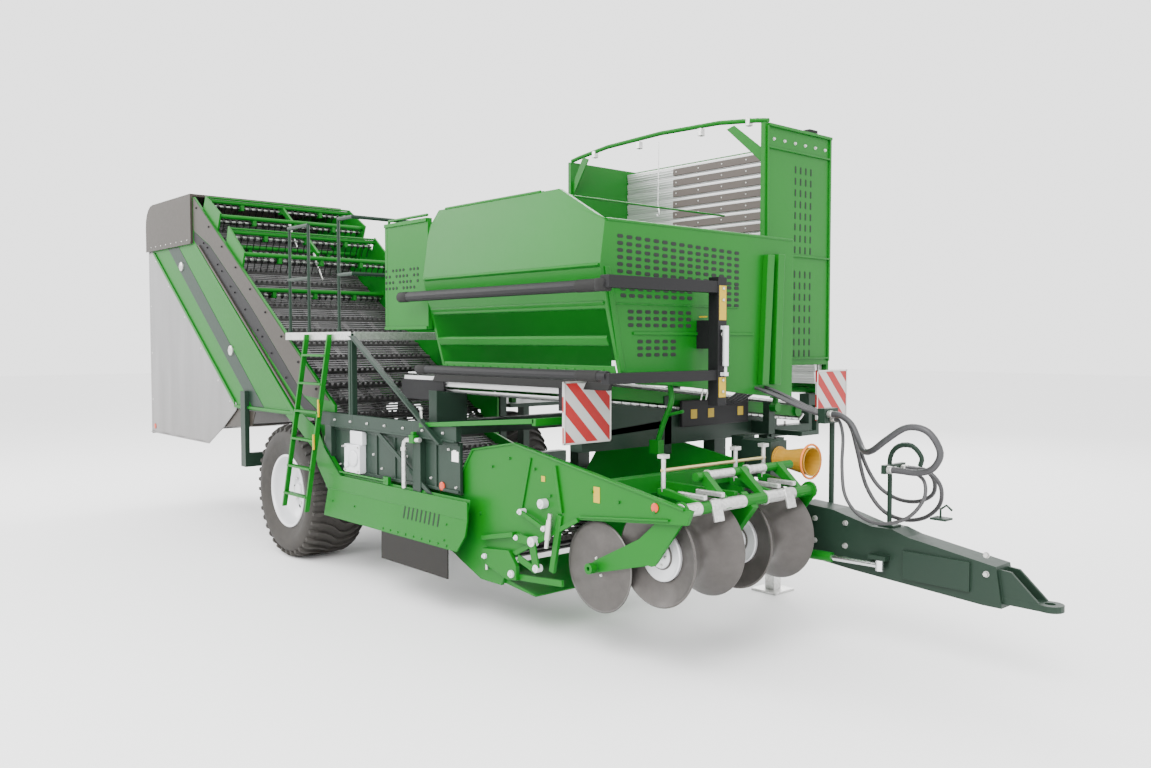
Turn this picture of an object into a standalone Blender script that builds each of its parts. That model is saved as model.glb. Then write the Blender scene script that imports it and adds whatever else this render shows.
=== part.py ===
"""Trailed two-row potato harvester with bunker, built from named steel, rubber and web sub-parts.

Frame: +X forward, +Y to the machine's left, +Z up, ground at z = 0, origin under the middle
of the machine.  All sizes are in metres.
"""
from math import atan2, cos, pi, radians, sin

import bmesh
import bpy
from mathutils import Matrix, Vector

# ---------------------------------------------------------------- driving sizes
GAP = 0.0003                # gap left between pieces that rest on each other
PLATE = 0.025               # thickness of the big side plates
SHEET = 0.015               # thickness of hung sheets and small panels

# wheels and steered axle
AXLE_X = -1.35
WHEEL_Y = 1.18              # wheel centre from the middle plane
WHEEL_STEPS = 28
CYLINDER_STEPS = 14
TYRE_RADIUS = 0.669
TYRE_WIDTH = 0.60
RIM_RADIUS = 0.345
RIM_FLANGE = 0.018
KING_PIN_Y = 0.80
AXLE_HALF = 0.08
AXLE_Z = TYRE_RADIUS * cos(pi / WHEEL_STEPS)
SPINDLE_END = 0.08          # from the wheel's middle plane, towards the machine
YOKE_HALF = 0.135
STEER_ARM = 0.27

# chassis
FRAME_LOW = AXLE_Z + AXLE_HALF + GAP
GIRDER_Y0, GIRDER_Y1 = 0.21, 0.43
GIRDER_TOP = 1.00
GIRDER_REAR, GIRDER_FRONT = -3.30, 3.26
CROSS_LOW, CROSS_TOP = 0.80, 0.94
OUTER_Y = -1.46             # outer face of the right-hand beam and posts
SIDE_Y = -1.41              # outer face of the right-hand side plates
BEAM_LOW, BEAM_TOP = 1.38, 1.50
POST_X = (-0.50, 1.00, 2.62)
POST_WIDTH = 0.12
REAR_POST_X = -2.42
LEFT_POST_Y = 0.80

# drawbar
DRAW_X, DRAW_Y = 3.42, 0.32
DRAW_HALF = 0.10
DRAW_TOP = 0.98
DRAW_LOW = 0.62
POST_SEAT_X, POST_SEAT_Z = 4.23, 0.885
EYE_TIP = 5.39
STEER_BASE, STEER_EYE, STEER_Z = (3.40, 0.10), (4.25, 0.17), 0.64
STEER_HALF = 0.036

# digger and row units
DIG_X, DIG_Z = -0.30, 1.30
DIG_RIGHT = -1.335          # inner face of the right digger plate
DIG_LEFT = 0.015            # inner face of the left digger plate
WEB_FRONT_X, WEB_FRONT_Z = 1.78, 0.50
WEB_HALF = 0.07
WEB_SIDE = 0.01
LIFT_BASE, LIFT_EYE, LIFT_Y = (1.21, 1.44), (1.95, 0.85), 0.135
LIFT_HALF = 0.023
BEAM_X0, BEAM_X1 = 3.00, 3.10
PIPE_X, PIPE_Z, PIPE_R = 3.80, 1.12, 0.04
ROW_Y = 0.5 * (DIG_RIGHT + DIG_LEFT)
ROW_SPACING = 0.75
DIABOLO_X, DIABOLO_Z, DIABOLO_R, DIABOLO_HALF = 3.55, 0.80, 0.33, 0.24
COULTER_X, COULTER_Z, COULTER_R = 3.05, 0.65, 0.31
ARM_IN, ARM_OUT = 0.651, 0.669
DISC_IN, DISC_OUT = 0.637, 0.643

# rear elevator
ELEV_LEFT = 0.48            # outer face of the left elevator plate
ELEV_LOW = (-0.52, 1.24)
ELEV_HIGH = (-4.45, 3.60)
ELEV_HALF = 0.08
HOOD_REAR, HOOD_FRONT = -5.39, -3.83
HOOD_LOW, HOOD_TOP = 3.30, 3.88
HOOD_WALL = 0.03
CURTAIN_LOW = 0.97

# platform and ladder
PLATFORM_X0, PLATFORM_X1 = -1.30, 0.02
PLATFORM_LOW, PLATFORM_TOP = 2.18, 2.22
PLATFORM_LEFT = 0.58
RAIL_TOP = 3.25
LADDER_Y = OUTER_Y - 0.0203
LADDER_FOOT_Y = -1.63

# bunker
BUNKER_REAR, BUNKER_FRONT = 1.05, 3.14
BUNKER_WALL = 0.03
BUNKER_TOP = 3.20
CREASE_Y, CREASE_Z = -1.38, 2.65
FLOOR_RIGHT, FLOOR_LEFT = -1.20, 1.42
FLOOR_RIGHT_Z, FLOOR_SLOPE, FLOOR_DEPTH = 1.90, -0.1077, 0.16
FLOOR_X0, FLOOR_X1 = 0.45, 2.76

# unloading elevator
TROUGH_X0, TROUGH_X1 = 0.43, 2.84
TROUGH_WALL = 0.04
TROUGH_IN, TROUGH_OUT = 0.72, 1.65
TROUGH_LOW, TROUGH_TOP = 1.95, 3.92
SLAT_Y0 = 1.50
HINGE_Y, HINGE_Z, HINGE_R = 1.62, 1.72, 0.03
RAM_X = 2.95
RAM_BASE = (0.74, 1.62)
RAM_EYE = (0.84, 2.85)

# jack
JACK_X, JACK_Y, JACK_HALF = 2.66, 1.12, 0.06
JACK_LOW, JACK_TOP = 0.50, 1.33

COLOURS = {
    "green": ((0.015, 0.33, 0.045), 0.35, 0.0),
    "dark_green": ((0.03, 0.085, 0.05), 0.45, 0.0),
    "grey_brown": ((0.16, 0.14, 0.12), 0.5, 0.0),
    "rubber": ((0.02, 0.02, 0.02), 0.75, 0.0),
    "steel": ((0.55, 0.55, 0.55), 0.35, 0.9),
    "silver": ((0.75, 0.75, 0.75), 0.35, 0.3),
    "curtain": ((0.5, 0.5, 0.5), 0.7, 0.0),
    "board": ((0.8, 0.1, 0.08), 0.4, 0.0),
    "yellow": ((0.85, 0.55, 0.03), 0.45, 0.0),
}


# ---------------------------------------------------------------- building tools
def start_scene():
    """Empty the scene and make the two collections."""
    for item in list(bpy.data.objects):
        bpy.data.objects.remove(item, do_unlink=True)
    groups = []
    for name in ("potato_harvester", "cutters"):
        group = bpy.data.collections.new(name)
        bpy.context.scene.collection.children.link(group)
        groups.append(group)
    return groups


PARTS, CUTTERS = start_scene()


def make_material(name):
    colour, roughness, metallic = COLOURS[name]
    material = bpy.data.materials.new(name)
    material.use_nodes = True
    shader = material.node_tree.nodes["Principled BSDF"]
    shader.inputs["Base Color"].default_value = (*colour, 1.0)
    shader.inputs["Roughness"].default_value = roughness
    shader.inputs["Metallic"].default_value = metallic
    return material


MATERIALS = {name: make_material(name) for name in COLOURS}


def from_bmesh(name, shape, matrix=None):
    mesh = bpy.data.meshes.new(name)
    shape.to_mesh(mesh)
    shape.free()
    item = bpy.data.objects.new(name, mesh)
    PARTS.objects.link(item)
    if matrix is not None:
        item.matrix_world = matrix
    return item


def block(name, low, high):
    """A box between two opposite corners."""
    low, high = Vector(low), Vector(high)
    shape = bmesh.new()
    bmesh.ops.create_cube(shape, size=1.0)
    bmesh.ops.scale(shape, vec=high - low, verts=shape.verts)
    return from_bmesh(name, shape, Matrix.Translation((low + high) / 2))


def rod(name, start, end, radius, sides=12):
    """A round bar between two points."""
    start, end = Vector(start), Vector(end)
    shape = bmesh.new()
    bmesh.ops.create_cone(shape, cap_ends=True, segments=sides, radius1=radius,
                          radius2=radius, depth=(end - start).length)
    turn = (end - start).to_track_quat("Z", "Y").to_matrix().to_4x4()
    return from_bmesh(name, shape, Matrix.Translation((start + end) / 2) @ turn)


def curve_to_mesh(curve_object):
    """Replace a curve object by its welded mesh, in the same place."""
    bpy.context.view_layer.update()
    evaluated = curve_object.evaluated_get(bpy.context.evaluated_depsgraph_get())
    mesh = bpy.data.meshes.new_from_object(evaluated)
    shape = bmesh.new()
    shape.from_mesh(mesh)
    bmesh.ops.remove_doubles(shape, verts=shape.verts, dist=0.00001)
    bmesh.ops.recalc_face_normals(shape, faces=shape.faces)
    shape.to_mesh(mesh)
    shape.free()
    name = curve_object.name
    matrix = curve_object.matrix_world.copy()
    bpy.data.objects.remove(curve_object, do_unlink=True)
    item = bpy.data.objects.new(name, mesh)
    item.matrix_world = matrix
    PARTS.objects.link(item)
    return item


TURNS = {
    "XY": Matrix.Identity(4),
    "XZ": Matrix.Rotation(pi / 2, 4, "X"),
    "YZ": Matrix.Rotation(pi / 2, 4, "Z") @ Matrix.Rotation(pi / 2, 4, "X"),
}
NORMALS = {"XY": Vector((0, 0, 1)), "XZ": Vector((0, 1, 0)), "YZ": Vector((1, 0, 0))}


def prism(name, outline, plane, low, high):
    """A flat outline in the given plane, thick from low to high along its normal."""
    curve = bpy.data.curves.new(name, "CURVE")
    curve.dimensions = "2D"
    curve.fill_mode = "BOTH"
    curve.extrude = (high - low) / 2
    spline = curve.splines.new("POLY")
    spline.points.add(len(outline) - 1)
    for point, (u, v) in zip(spline.points, outline):
        point.co = (u, v, 0, 1)
    spline.use_cyclic_u = True
    item = bpy.data.objects.new(name, curve)
    PARTS.objects.link(item)
    item.matrix_world = Matrix.Translation(NORMALS[plane] * (low + high) / 2) @ TURNS[plane]
    return curve_to_mesh(item)


def smooth_route(points, count):
    """Points along a smooth curve through the given ones."""
    points = [Vector(point) for point in points]
    ends = [points[0] * 2 - points[1], *points, points[-1] * 2 - points[-2]]
    route = []
    for step in range(count):
        place = step / (count - 1) * (len(points) - 1)
        index = min(int(place), len(points) - 2)
        t = place - index
        a, b, c, d = ends[index:index + 4]
        route.append(0.5 * (2 * b + (c - a) * t + (2 * a - 5 * b + 4 * c - d) * t * t
                            + (3 * b - a - 3 * c + d) * t ** 3))
    return route


def tube(name, points, radius, resolution=2):
    """A round bar bent along a list of points."""
    curve = bpy.data.curves.new(name, "CURVE")
    curve.dimensions = "3D"
    curve.bevel_depth = radius
    curve.bevel_resolution = resolution
    curve.use_fill_caps = True
    spline = curve.splines.new("POLY")
    spline.points.add(len(points) - 1)
    for point, place in zip(spline.points, points):
        point.co = (*place, 1)
    item = bpy.data.objects.new(name, curve)
    PARTS.objects.link(item)
    return curve_to_mesh(item)


def turned(name, profile, matrix, steps, closed=False):
    """A profile of (radius, height) points turned about the matrix's Z axis."""
    shape = bmesh.new()
    verts = [shape.verts.new((radius, 0, height)) for radius, height in profile]
    for first, second in zip(verts, verts[1:]):
        shape.edges.new((first, second))
    if closed:
        shape.edges.new((verts[-1], verts[0]))
    item = from_bmesh(name, shape, matrix)
    screw = item.modifiers.new("turn", "SCREW")
    screw.axis = "Z"
    screw.steps = steps
    screw.render_steps = steps
    screw.use_merge_vertices = True
    screw.merge_threshold = 0.00005
    return item


def hide_operand(item):
    PARTS.objects.unlink(item)
    CUTTERS.objects.link(item)
    item.hide_render = True
    item.display_type = "WIRE"


def combine(main, others, operation="UNION"):
    """Join, cut or intersect the main object with the others."""
    for other in others:
        step = main.modifiers.new(operation.lower(), "BOOLEAN")
        step.operation = operation
        step.solver = "EXACT"
        step.object = other
        hide_operand(other)
    return main


def cut(main, cutters):
    return combine(main, cutters, "DIFFERENCE")


def paint(colour, *items):
    for item in items:
        item.data.materials.clear()
        item.data.materials.append(MATERIALS[colour])


def pivot(name, place):
    """An empty on a joint's axis, which carries what moves on it."""
    empty = bpy.data.objects.new(name, None)
    empty.empty_display_size = 0.1
    empty.location = place
    PARTS.objects.link(empty)
    bpy.context.view_layer.update()
    return empty


def carry(empty, *items):
    for item in items:
        item.parent = empty
        item.matrix_parent_inverse = empty.matrix_world.inverted()


def arc(centre, radius, start, end, count):
    """Points on an arc, in degrees, for outlines."""
    points = []
    for step in range(count):
        angle = radians(start + (end - start) * step / (count - 1))
        points.append((centre[0] + radius * cos(angle), centre[1] + radius * sin(angle)))
    return points


def belt_outline(low, high, half):
    """The outline of an endless web round two end rollers."""
    slope = atan2(high[1] - low[1], high[0] - low[0]) * 180 / pi
    return (arc(high, half, slope - 90, slope + 90, 5)
            + arc(low, half, slope + 90, slope + 270, 5))


# ---------------------------------------------------------------- wheels and axle
def make_wheel(side, sign):
    """Tyre and rim; heights in the profiles run outwards from the wheel's middle."""
    outward = Matrix.Rotation(-sign * pi / 2, 4, "X")
    spin = Matrix.Rotation(pi / WHEEL_STEPS, 4, "Z")
    place = Matrix.Translation((AXLE_X, sign * WHEEL_Y, AXLE_Z)) @ outward @ spin
    half = TYRE_WIDTH / 2
    bead = half - 0.05
    inner = RIM_RADIUS + GAP
    lip = RIM_RADIUS + RIM_FLANGE
    upper = [(inner, bead), (lip, bead), (0.75 * TYRE_RADIUS, half),
             (TYRE_RADIUS - 0.03, half - 0.03), (TYRE_RADIUS, half - 0.09)]
    lower = [(radius, -height) for radius, height in reversed(upper)]
    tyre = turned(f"{side}_tyre", upper + lower, place, WHEEL_STEPS, closed=True)
    edge = bead + GAP
    lip_out = edge + 0.015
    flange = lip - GAP
    barrel = RIM_RADIUS - 0.015
    rim = turned(f"{side}_rim", [
        (0, 0.16), (0.09, 0.16), (0.09, 0.10), (0.27, 0.10), (barrel, 0.16), (barrel, lip_out),
        (flange, lip_out), (flange, edge), (RIM_RADIUS, edge), (RIM_RADIUS, -edge),
        (flange, -edge), (flange, -lip_out), (barrel, -lip_out), (barrel, 0.10), (0.27, 0.06),
        (0.11, 0.06), (0.11, GAP - SPINDLE_END), (0, GAP - SPINDLE_END)], place, WHEEL_STEPS)
    paint("rubber", tyre)
    paint("silver", rim)
    hub = pivot(f"{side}_wheel_axis", (AXLE_X, sign * WHEEL_Y, AXLE_Z))
    carry(hub, tyre, rim)


def make_knuckle(side, sign):
    """Yoke round the axle's king-pin boss, with the wheel spindle and a steering arm."""
    def piece(tag, x0, x1, y0, y1, z0, z1):
        ys = sorted((sign * y0, sign * y1))
        return block(f"{side}_{tag}", (AXLE_X + x0, ys[0], AXLE_Z + z0),
                     (AXLE_X + x1, ys[1], AXLE_Z + z1))
    yoke_top = YOKE_HALF + 0.03
    web_y = KING_PIN_Y + 0.08
    knuckle = piece("knuckle", -0.09, 0.09, web_y, web_y + 0.05, -yoke_top, yoke_top)
    upper = piece("yoke_upper", -0.08, 0.08, KING_PIN_Y - 0.07, web_y + 0.01,
                  YOKE_HALF, yoke_top - 0.002)
    lower = piece("yoke_lower", -0.08, 0.08, KING_PIN_Y - 0.07, web_y + 0.01,
                  -yoke_top + 0.002, -YOKE_HALF)
    arm = piece("steering_arm", -STEER_ARM - 0.04, -0.05, KING_PIN_Y - 0.03,
                KING_PIN_Y + 0.03, -yoke_top + 0.004, -YOKE_HALF - 0.002)
    spindle = rod(f"{side}_spindle", (AXLE_X, sign * (web_y + 0.04), AXLE_Z),
                  (AXLE_X, sign * (WHEEL_Y - SPINDLE_END), AXLE_Z), 0.05)
    combine(knuckle, [upper, lower, arm, spindle])
    paint("dark_green", knuckle)
    carry(pivot(f"{side}_king_pin", (AXLE_X, sign * KING_PIN_Y, AXLE_Z)), knuckle)


def make_axle():
    axle = block("axle_beam", (AXLE_X - AXLE_HALF, -KING_PIN_Y + 0.05, AXLE_Z - AXLE_HALF),
                 (AXLE_X + AXLE_HALF, KING_PIN_Y - 0.05, AXLE_Z + AXLE_HALF))
    bosses = []
    for sign in (-1, 1):
        low = (AXLE_X, sign * KING_PIN_Y, AXLE_Z - YOKE_HALF + GAP)
        high = (AXLE_X, sign * KING_PIN_Y, AXLE_Z + YOKE_HALF - GAP)
        bosses.append(rod(f"boss_{sign}", low, high, 0.065))
    combine(axle, bosses)
    paint("dark_green", axle)


def make_tie_rod():
    x = AXLE_X - STEER_ARM
    arm_top = AXLE_Z - YOKE_HALF - 0.002
    z = arm_top + 0.035
    bar = rod("tie_rod", (x, -KING_PIN_Y, z), (x, KING_PIN_Y, z), 0.018)
    eyes = []
    for sign in (-1, 1):
        low = (x, sign * KING_PIN_Y, arm_top + GAP)
        eyes.append(rod(f"tie_eye_{sign}", low, (x, sign * KING_PIN_Y, arm_top + 0.06), 0.028))
    combine(bar, eyes)
    paint("steel", bar)
    carry(pivot("tie_rod_pin", (x, -KING_PIN_Y, arm_top)), bar)


# ---------------------------------------------------------------- chassis
def floor_top(y):
    """Height of the bunker floor's upper face."""
    return FLOOR_RIGHT_Z + FLOOR_SLOPE * (y - FLOOR_RIGHT)


def floor_seat(name, x0, x1, y0, y1, low):
    """A support whose top follows the bunker floor's sloping underside."""
    outline = [(y0, low), (y1, low), (y1, floor_top(y1) - FLOOR_DEPTH - GAP),
               (y0, floor_top(y0) - FLOOR_DEPTH - GAP)]
    return prism(name, outline, "YZ", x0, x1)


def make_main_frame():
    frame = block("main_frame", (GIRDER_REAR, GIRDER_Y0, FRAME_LOW),
                  (GIRDER_FRONT, GIRDER_Y1, GIRDER_TOP))
    inner_y = SIDE_Y - GAP
    x0, x1, x2 = POST_X
    w = POST_WIDTH
    rear = REAR_POST_X
    bits = [
        # right rail over the axle, and the cross members
        block("right_rail", (rear, -0.70, FRAME_LOW), (x0 + w, -0.55, 0.90)),
        block("cross_mid", (x0, OUTER_Y, CROSS_LOW), (x0 + w, 1.40, CROSS_TOP)),
        block("cross_rear", (rear, OUTER_Y, CROSS_LOW + 0.01), (rear + w, 1.10, CROSS_TOP + 0.01)),
        block("cross_jack", (x2 - 0.02, 0.30, CROSS_LOW),
              (x2 + w - 0.02, JACK_Y - JACK_HALF - GAP, CROSS_TOP)),
        # right-hand beam, posts and the bunker's seats
        block("right_beam", (x0 - 0.12, OUTER_Y + 0.001, BEAM_LOW), (1.62, inner_y, BEAM_TOP)),
        block("post_mid", (x0 + 0.002, OUTER_Y, CROSS_LOW + 0.02), (x0 + w, inner_y, BEAM_TOP)),
        block("post_rear_right", (rear + 0.002, OUTER_Y, CROSS_LOW + 0.02),
              (rear + w - 0.002, inner_y, 1.62)),
        block("post_rear_left", (rear + 0.002, ELEV_LEFT + GAP, CROSS_LOW + 0.02),
              (rear + w - 0.002, ELEV_LEFT + 0.06, 1.62)),
        block("guard_post", (x1 + 0.002, OUTER_Y, 0.62), (x1 + w - 0.002, inner_y, BEAM_TOP + 0.01)),
        block("cross_bunker", (x1, OUTER_Y + 0.002, BEAM_LOW - 0.002),
              (x1 + w, 0.95, BEAM_TOP - 0.002)),
        block("girder_post", (x1 + 0.003, 0.24, 0.95), (x1 + w - 0.003, 0.38, BEAM_TOP - 0.01)),
        floor_seat("seat_right", x1 + 0.002, x1 + w - 0.002, -1.30, -1.00, BEAM_TOP - 0.03),
        block("post_platform", (-0.05, OUTER_Y, BEAM_TOP - 0.05),
              (PLATFORM_X1, inner_y, PLATFORM_LOW - GAP)),
        block("post_platform_left", (x0 + 0.02, 0.50, CROSS_TOP - 0.05),
              (x0 + w - 0.02, 0.58, PLATFORM_LOW - GAP)),
        # left side
        floor_seat("seat_left", x1 + 0.008, x1 + w - 0.008, 1.18, 1.30, BEAM_LOW + 0.01),
        block("hinge_arm_rear", (x1 + 0.005, 0.90, BEAM_LOW + 0.004),
              (x1 + w - 0.005, HINGE_Y + 0.01, 1.44)),
        block("hinge_lug_rear", (x1 + 0.01, 1.52, BEAM_LOW + 0.02),
              (x1 + w - 0.01, HINGE_Y + 0.015, HINGE_Z - HINGE_R - GAP)),
        floor_seat("front_seat", x2, x2 + w, -1.18, 1.05, 1.375),
        block("front_post", (x2 + 0.002, 0.24, 0.95), (x2 + w - 0.002, 0.38, 1.42)),
        block("jack_post", (x2 + 0.003, 0.95, CROSS_LOW + 0.01), (x2 + w - 0.025, 1.05, 1.40)),
        block("hinge_arm_front", (x2 + 0.005, 0.98, 1.345), (x2 + w - 0.005, HINGE_Y + 0.01, 1.43)),
        block("hinge_lug_front", (x2 + 0.01, 1.52, 1.36),
              (x2 + w - 0.01, HINGE_Y + 0.015, HINGE_Z - HINGE_R - GAP)),
        block("picking_post_front", (x0 + 0.01, LEFT_POST_Y, CROSS_TOP - 0.05),
              (x0 + w - 0.01, LEFT_POST_Y + 0.08, 1.45 - GAP)),
        block("picking_post_rear", (rear + 0.01, LEFT_POST_Y, CROSS_TOP - 0.05),
              (rear + w - 0.01, LEFT_POST_Y + 0.08, 1.45 - GAP)),
        # brackets of the unloading ram and of the marker boards
        block("ram_arm", (x2 + w - 0.02, RAM_BASE[0] - 0.04, 1.40), (2.9197, RAM_BASE[0] + 0.04, 1.50)),
        block("ram_lug", (2.86, RAM_BASE[0] - 0.039, 1.42), (2.9196, RAM_BASE[0] + 0.039, 1.66)),
        block("board_arm_right", (x2 + w - 0.01, -1.14, 1.56), (2.80 - GAP, -1.10, 1.60)),
        block("board_arm_left", (x2 + w - 0.03, 0.99, 1.37), (3.02, 1.03, 1.41)),
        block("board_arm_side", (2.98, 0.995, 1.372), (3.03 - GAP, 1.24, 1.408)),
        block("board_arm_up", (2.985, 1.20, 1.374), (3.0296, 1.239, 1.62)),
        # gearbox carrier and drawbar fork
        block("gearbox_post", (2.90, 0.25, 0.95), (3.02, 0.39, 1.42)),
        block("fork_back", (3.20, GIRDER_Y0 + 0.002, DRAW_LOW - 0.04),
              (3.30, GIRDER_Y1 - 0.002, DRAW_TOP + 0.04)),
        block("fork_upper", (3.22, GIRDER_Y0, DRAW_TOP + GAP), (3.50, GIRDER_Y1, DRAW_TOP + 0.038)),
        block("fork_lower", (3.22, GIRDER_Y0, DRAW_LOW - 0.038), (3.50, GIRDER_Y1, DRAW_LOW - GAP)),
        block("steer_lug", (3.10, 0.06, 0.70), (3.245, GIRDER_Y0 + 0.02, 0.76)),
        block("steer_lug_plate", (3.20, 0.062, STEER_Z + STEER_HALF + GAP),
              (3.44, 0.14, STEER_Z + STEER_HALF + 0.03)),
        block("lift_lug", (x1 + w - 0.02, LIFT_Y + LIFT_HALF + GAP, BEAM_LOW + 0.012),
              (LIFT_BASE[0] + 0.04, LIFT_Y + LIFT_HALF + 0.02, BEAM_TOP - 0.012)),
    ]
    combine(frame, bits)
    paint("dark_green", frame)


def make_side_panels():
    wall = prism("right_side_wall", [
        (-0.395, 0.97), (1.60, 0.97), (1.60, 1.37), (-0.395, 1.37)],
        "XZ", SIDE_Y, SIDE_Y + PLATE)
    outer = OUTER_Y - GAP
    guard = prism("right_guard", [
        (outer, 0.94), (outer, 0.80), (outer - 0.045, 0.56), (outer - 0.06, 0.56),
        (outer - 0.015, 0.80), (outer - 0.015, 0.94)], "YZ", -0.42, 1.78)
    corner = prism("guard_corner", [
        (1.79, 0.40), (1.79, 0.70), (1.60, 0.40)], "XZ", outer - 0.1, outer + 0.1)
    cut(guard, [corner])
    flap = block("rubber_flap", (0.60, outer - 0.059, 0.33), (1.58, outer - 0.047, 0.56 - GAP))
    paint("dark_green", wall)
    paint("green", guard)
    paint("rubber", flap)


# ---------------------------------------------------------------- drawbar
def make_drawbar():
    side0, side1 = DRAW_Y - DRAW_HALF, DRAW_Y + DRAW_HALF
    bar = prism("drawbar", [
        (3.56, 0.60), (4.01, 0.56), (4.94, 0.50), (5.06, 0.50), (5.02, 0.755),
        (4.42, 0.85), (POST_SEAT_X + 0.08, POST_SEAT_Z), (POST_SEAT_X - 0.08, POST_SEAT_Z),
        (3.85, 0.96), (3.56, DRAW_TOP)], "XZ", side0, side1)
    bits = [
        block("neck", (DRAW_X, DRAW_Y - 0.04, 0.65), (3.60, DRAW_Y + 0.04, 0.94)),
        rod("swing_boss", (DRAW_X, DRAW_Y, DRAW_LOW), (DRAW_X, DRAW_Y, DRAW_TOP), 0.07),
        block("side_box", (4.40, side0 - 0.02, 0.57), (4.86, side0 + 0.02, 0.76)),
        block("cylinder_lug", (4.17, side0 - 0.07, STEER_Z + STEER_HALF + GAP),
              (4.30, side0 + 0.02, STEER_Z + STEER_HALF + 0.03)),
    ]
    for y in (DRAW_Y - 0.07, DRAW_Y + 0.05):
        bits.append(prism(f"eye_cheek_{y:.2f}", [
            (4.98, 0.53), (5.27, 0.54), (5.27, 0.57), (5.10, 0.73), (4.98, 0.74)], "XZ", y, y + 0.02))
    eye_x = EYE_TIP - 0.08
    eye = prism("eye_plate", [(4.98, DRAW_Y - 0.072), (eye_x - 0.03, DRAW_Y - 0.072)]
                + arc((eye_x, DRAW_Y), 0.08, -80, 80, 9)
                + [(eye_x - 0.03, DRAW_Y + 0.072), (4.98, DRAW_Y + 0.072)], "XY", 0.525, 0.565)
    hole = rod("eye_hole", (eye_x, DRAW_Y, 0.4), (eye_x, DRAW_Y, 0.7), 0.032)
    combine(bar, bits + [eye])
    cut(bar, [hole])
    paint("dark_green", bar)
    return bar


def make_hose_post():
    base = POST_SEAT_Z + GAP
    x, y = POST_SEAT_X, DRAW_Y
    hook = [(x, y, base + 0.005), (x, y, 1.20), (x, y, 1.36), (x + 0.06, y, 1.44),
            (x + 0.16, y, 1.45), (x + 0.23, y, 1.38), (x + 0.22, y, 1.32)]
    post = tube("hose_post", smooth_route(hook, 19), 0.018, 1)
    foot = block("post_foot", (x - 0.06, y - 0.05, base), (x + 0.06, y + 0.05, base + 0.015))
    rack = block("coupler_rack", (x + 0.02, y - 0.15, 1.26), (HOSE_END - GAP, y + 0.115, 1.32))
    stay = block("rack_stay", (x - 0.02, y - 0.015, 1.27), (x + 0.03, y + 0.015, 1.31))
    combine(post, [foot, rack, stay])
    paint("dark_green", post)
    return post


def make_hose_carrier():
    side = DRAW_Y + DRAW_HALF + GAP
    stand = rod("hose_carrier", (3.64, side + 0.09, 0.84), (3.64, side + 0.09, 1.60), 0.02)
    foot = block("carrier_foot", (3.60, side, 0.80), (3.68, side + 0.11, 0.90))
    head = block("carrier_head", (3.61, side - 0.05, 1.55), (HOSE_START - GAP, side + 0.12, 1.66))
    combine(stand, [foot, head])
    paint("dark_green", stand)
    return stand


HOSE_START = 3.6703         # just in front of the carrier's head
HOSE_END = 4.2803           # just in front of the coupler rack
HOSES = {
    "hose_bundle": (0.022, [
        (HOSE_START, 0.41, 1.62), (3.76, 0.41, 1.62), (3.87, 0.40, 1.56), (3.96, 0.36, 1.45),
        (4.05, 0.28, 1.39), (4.17, 0.19, 1.41), (4.31, 0.14, 1.50), (4.46, 0.13, 1.59),
        (4.60, 0.14, 1.57), (4.67, 0.17, 1.44), (4.61, 0.19, 1.33), (4.50, 0.20, 1.29),
        (4.38, 0.20, 1.29), (HOSE_END, 0.20, 1.29)]),
    "hose_low": (0.014, [
        (HOSE_START, 0.46, 1.62), (3.74, 0.46, 1.62), (3.83, 0.46, 1.53), (3.88, 0.47, 1.36),
        (3.94, 0.49, 1.12), (4.06, 0.50, 0.96), (4.23, 0.49, 0.91), (4.41, 0.46, 0.95),
        (4.54, 0.42, 1.06), (4.56, 0.39, 1.19), (4.48, 0.376, 1.28), (4.38, 0.375, 1.29),
        (HOSE_END, 0.375, 1.29)]),
    "hose_right": (0.014, [
        (HOSE_START, 0.51, 1.60), (3.74, 0.51, 1.60), (3.83, 0.52, 1.50), (3.89, 0.54, 1.29),
        (3.99, 0.56, 1.12), (4.14, 0.56, 1.04), (4.31, 0.54, 1.04), (4.45, 0.49, 1.11),
        (4.49, 0.44, 1.21), (4.44, 0.42, 1.28), (4.36, 0.41, 1.29), (HOSE_END, 0.41, 1.29)]),
    "hose_left": (0.012, [
        (HOSE_START, 0.44, 1.58), (3.74, 0.44, 1.58), (3.83, 0.36, 1.47), (3.89, 0.26, 1.27),
        (3.97, 0.18, 1.08), (4.11, 0.145, 0.96), (4.28, 0.14, 0.93), (4.45, 0.17, 0.99),
        (4.54, 0.21, 1.12), (4.52, 0.25, 1.23), (4.44, 0.26, 1.28), (4.36, 0.26, 1.29),
        (HOSE_END, 0.26, 1.29)]),
}


def make_hoses():
    """Free hoses from the carrier's head to the coupler rack on the hose post."""
    hoses = []
    for name, (radius, points) in HOSES.items():
        route = smooth_route(points, 2 * len(points) - 1)
        route[1].yz = route[0].yz       # both ends leave square to their faces
        route[-2].yz = route[-1].yz
        hose = tube(name, route, radius)
        paint("rubber", hose)
        hoses.append(hose)
    return hoses


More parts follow.
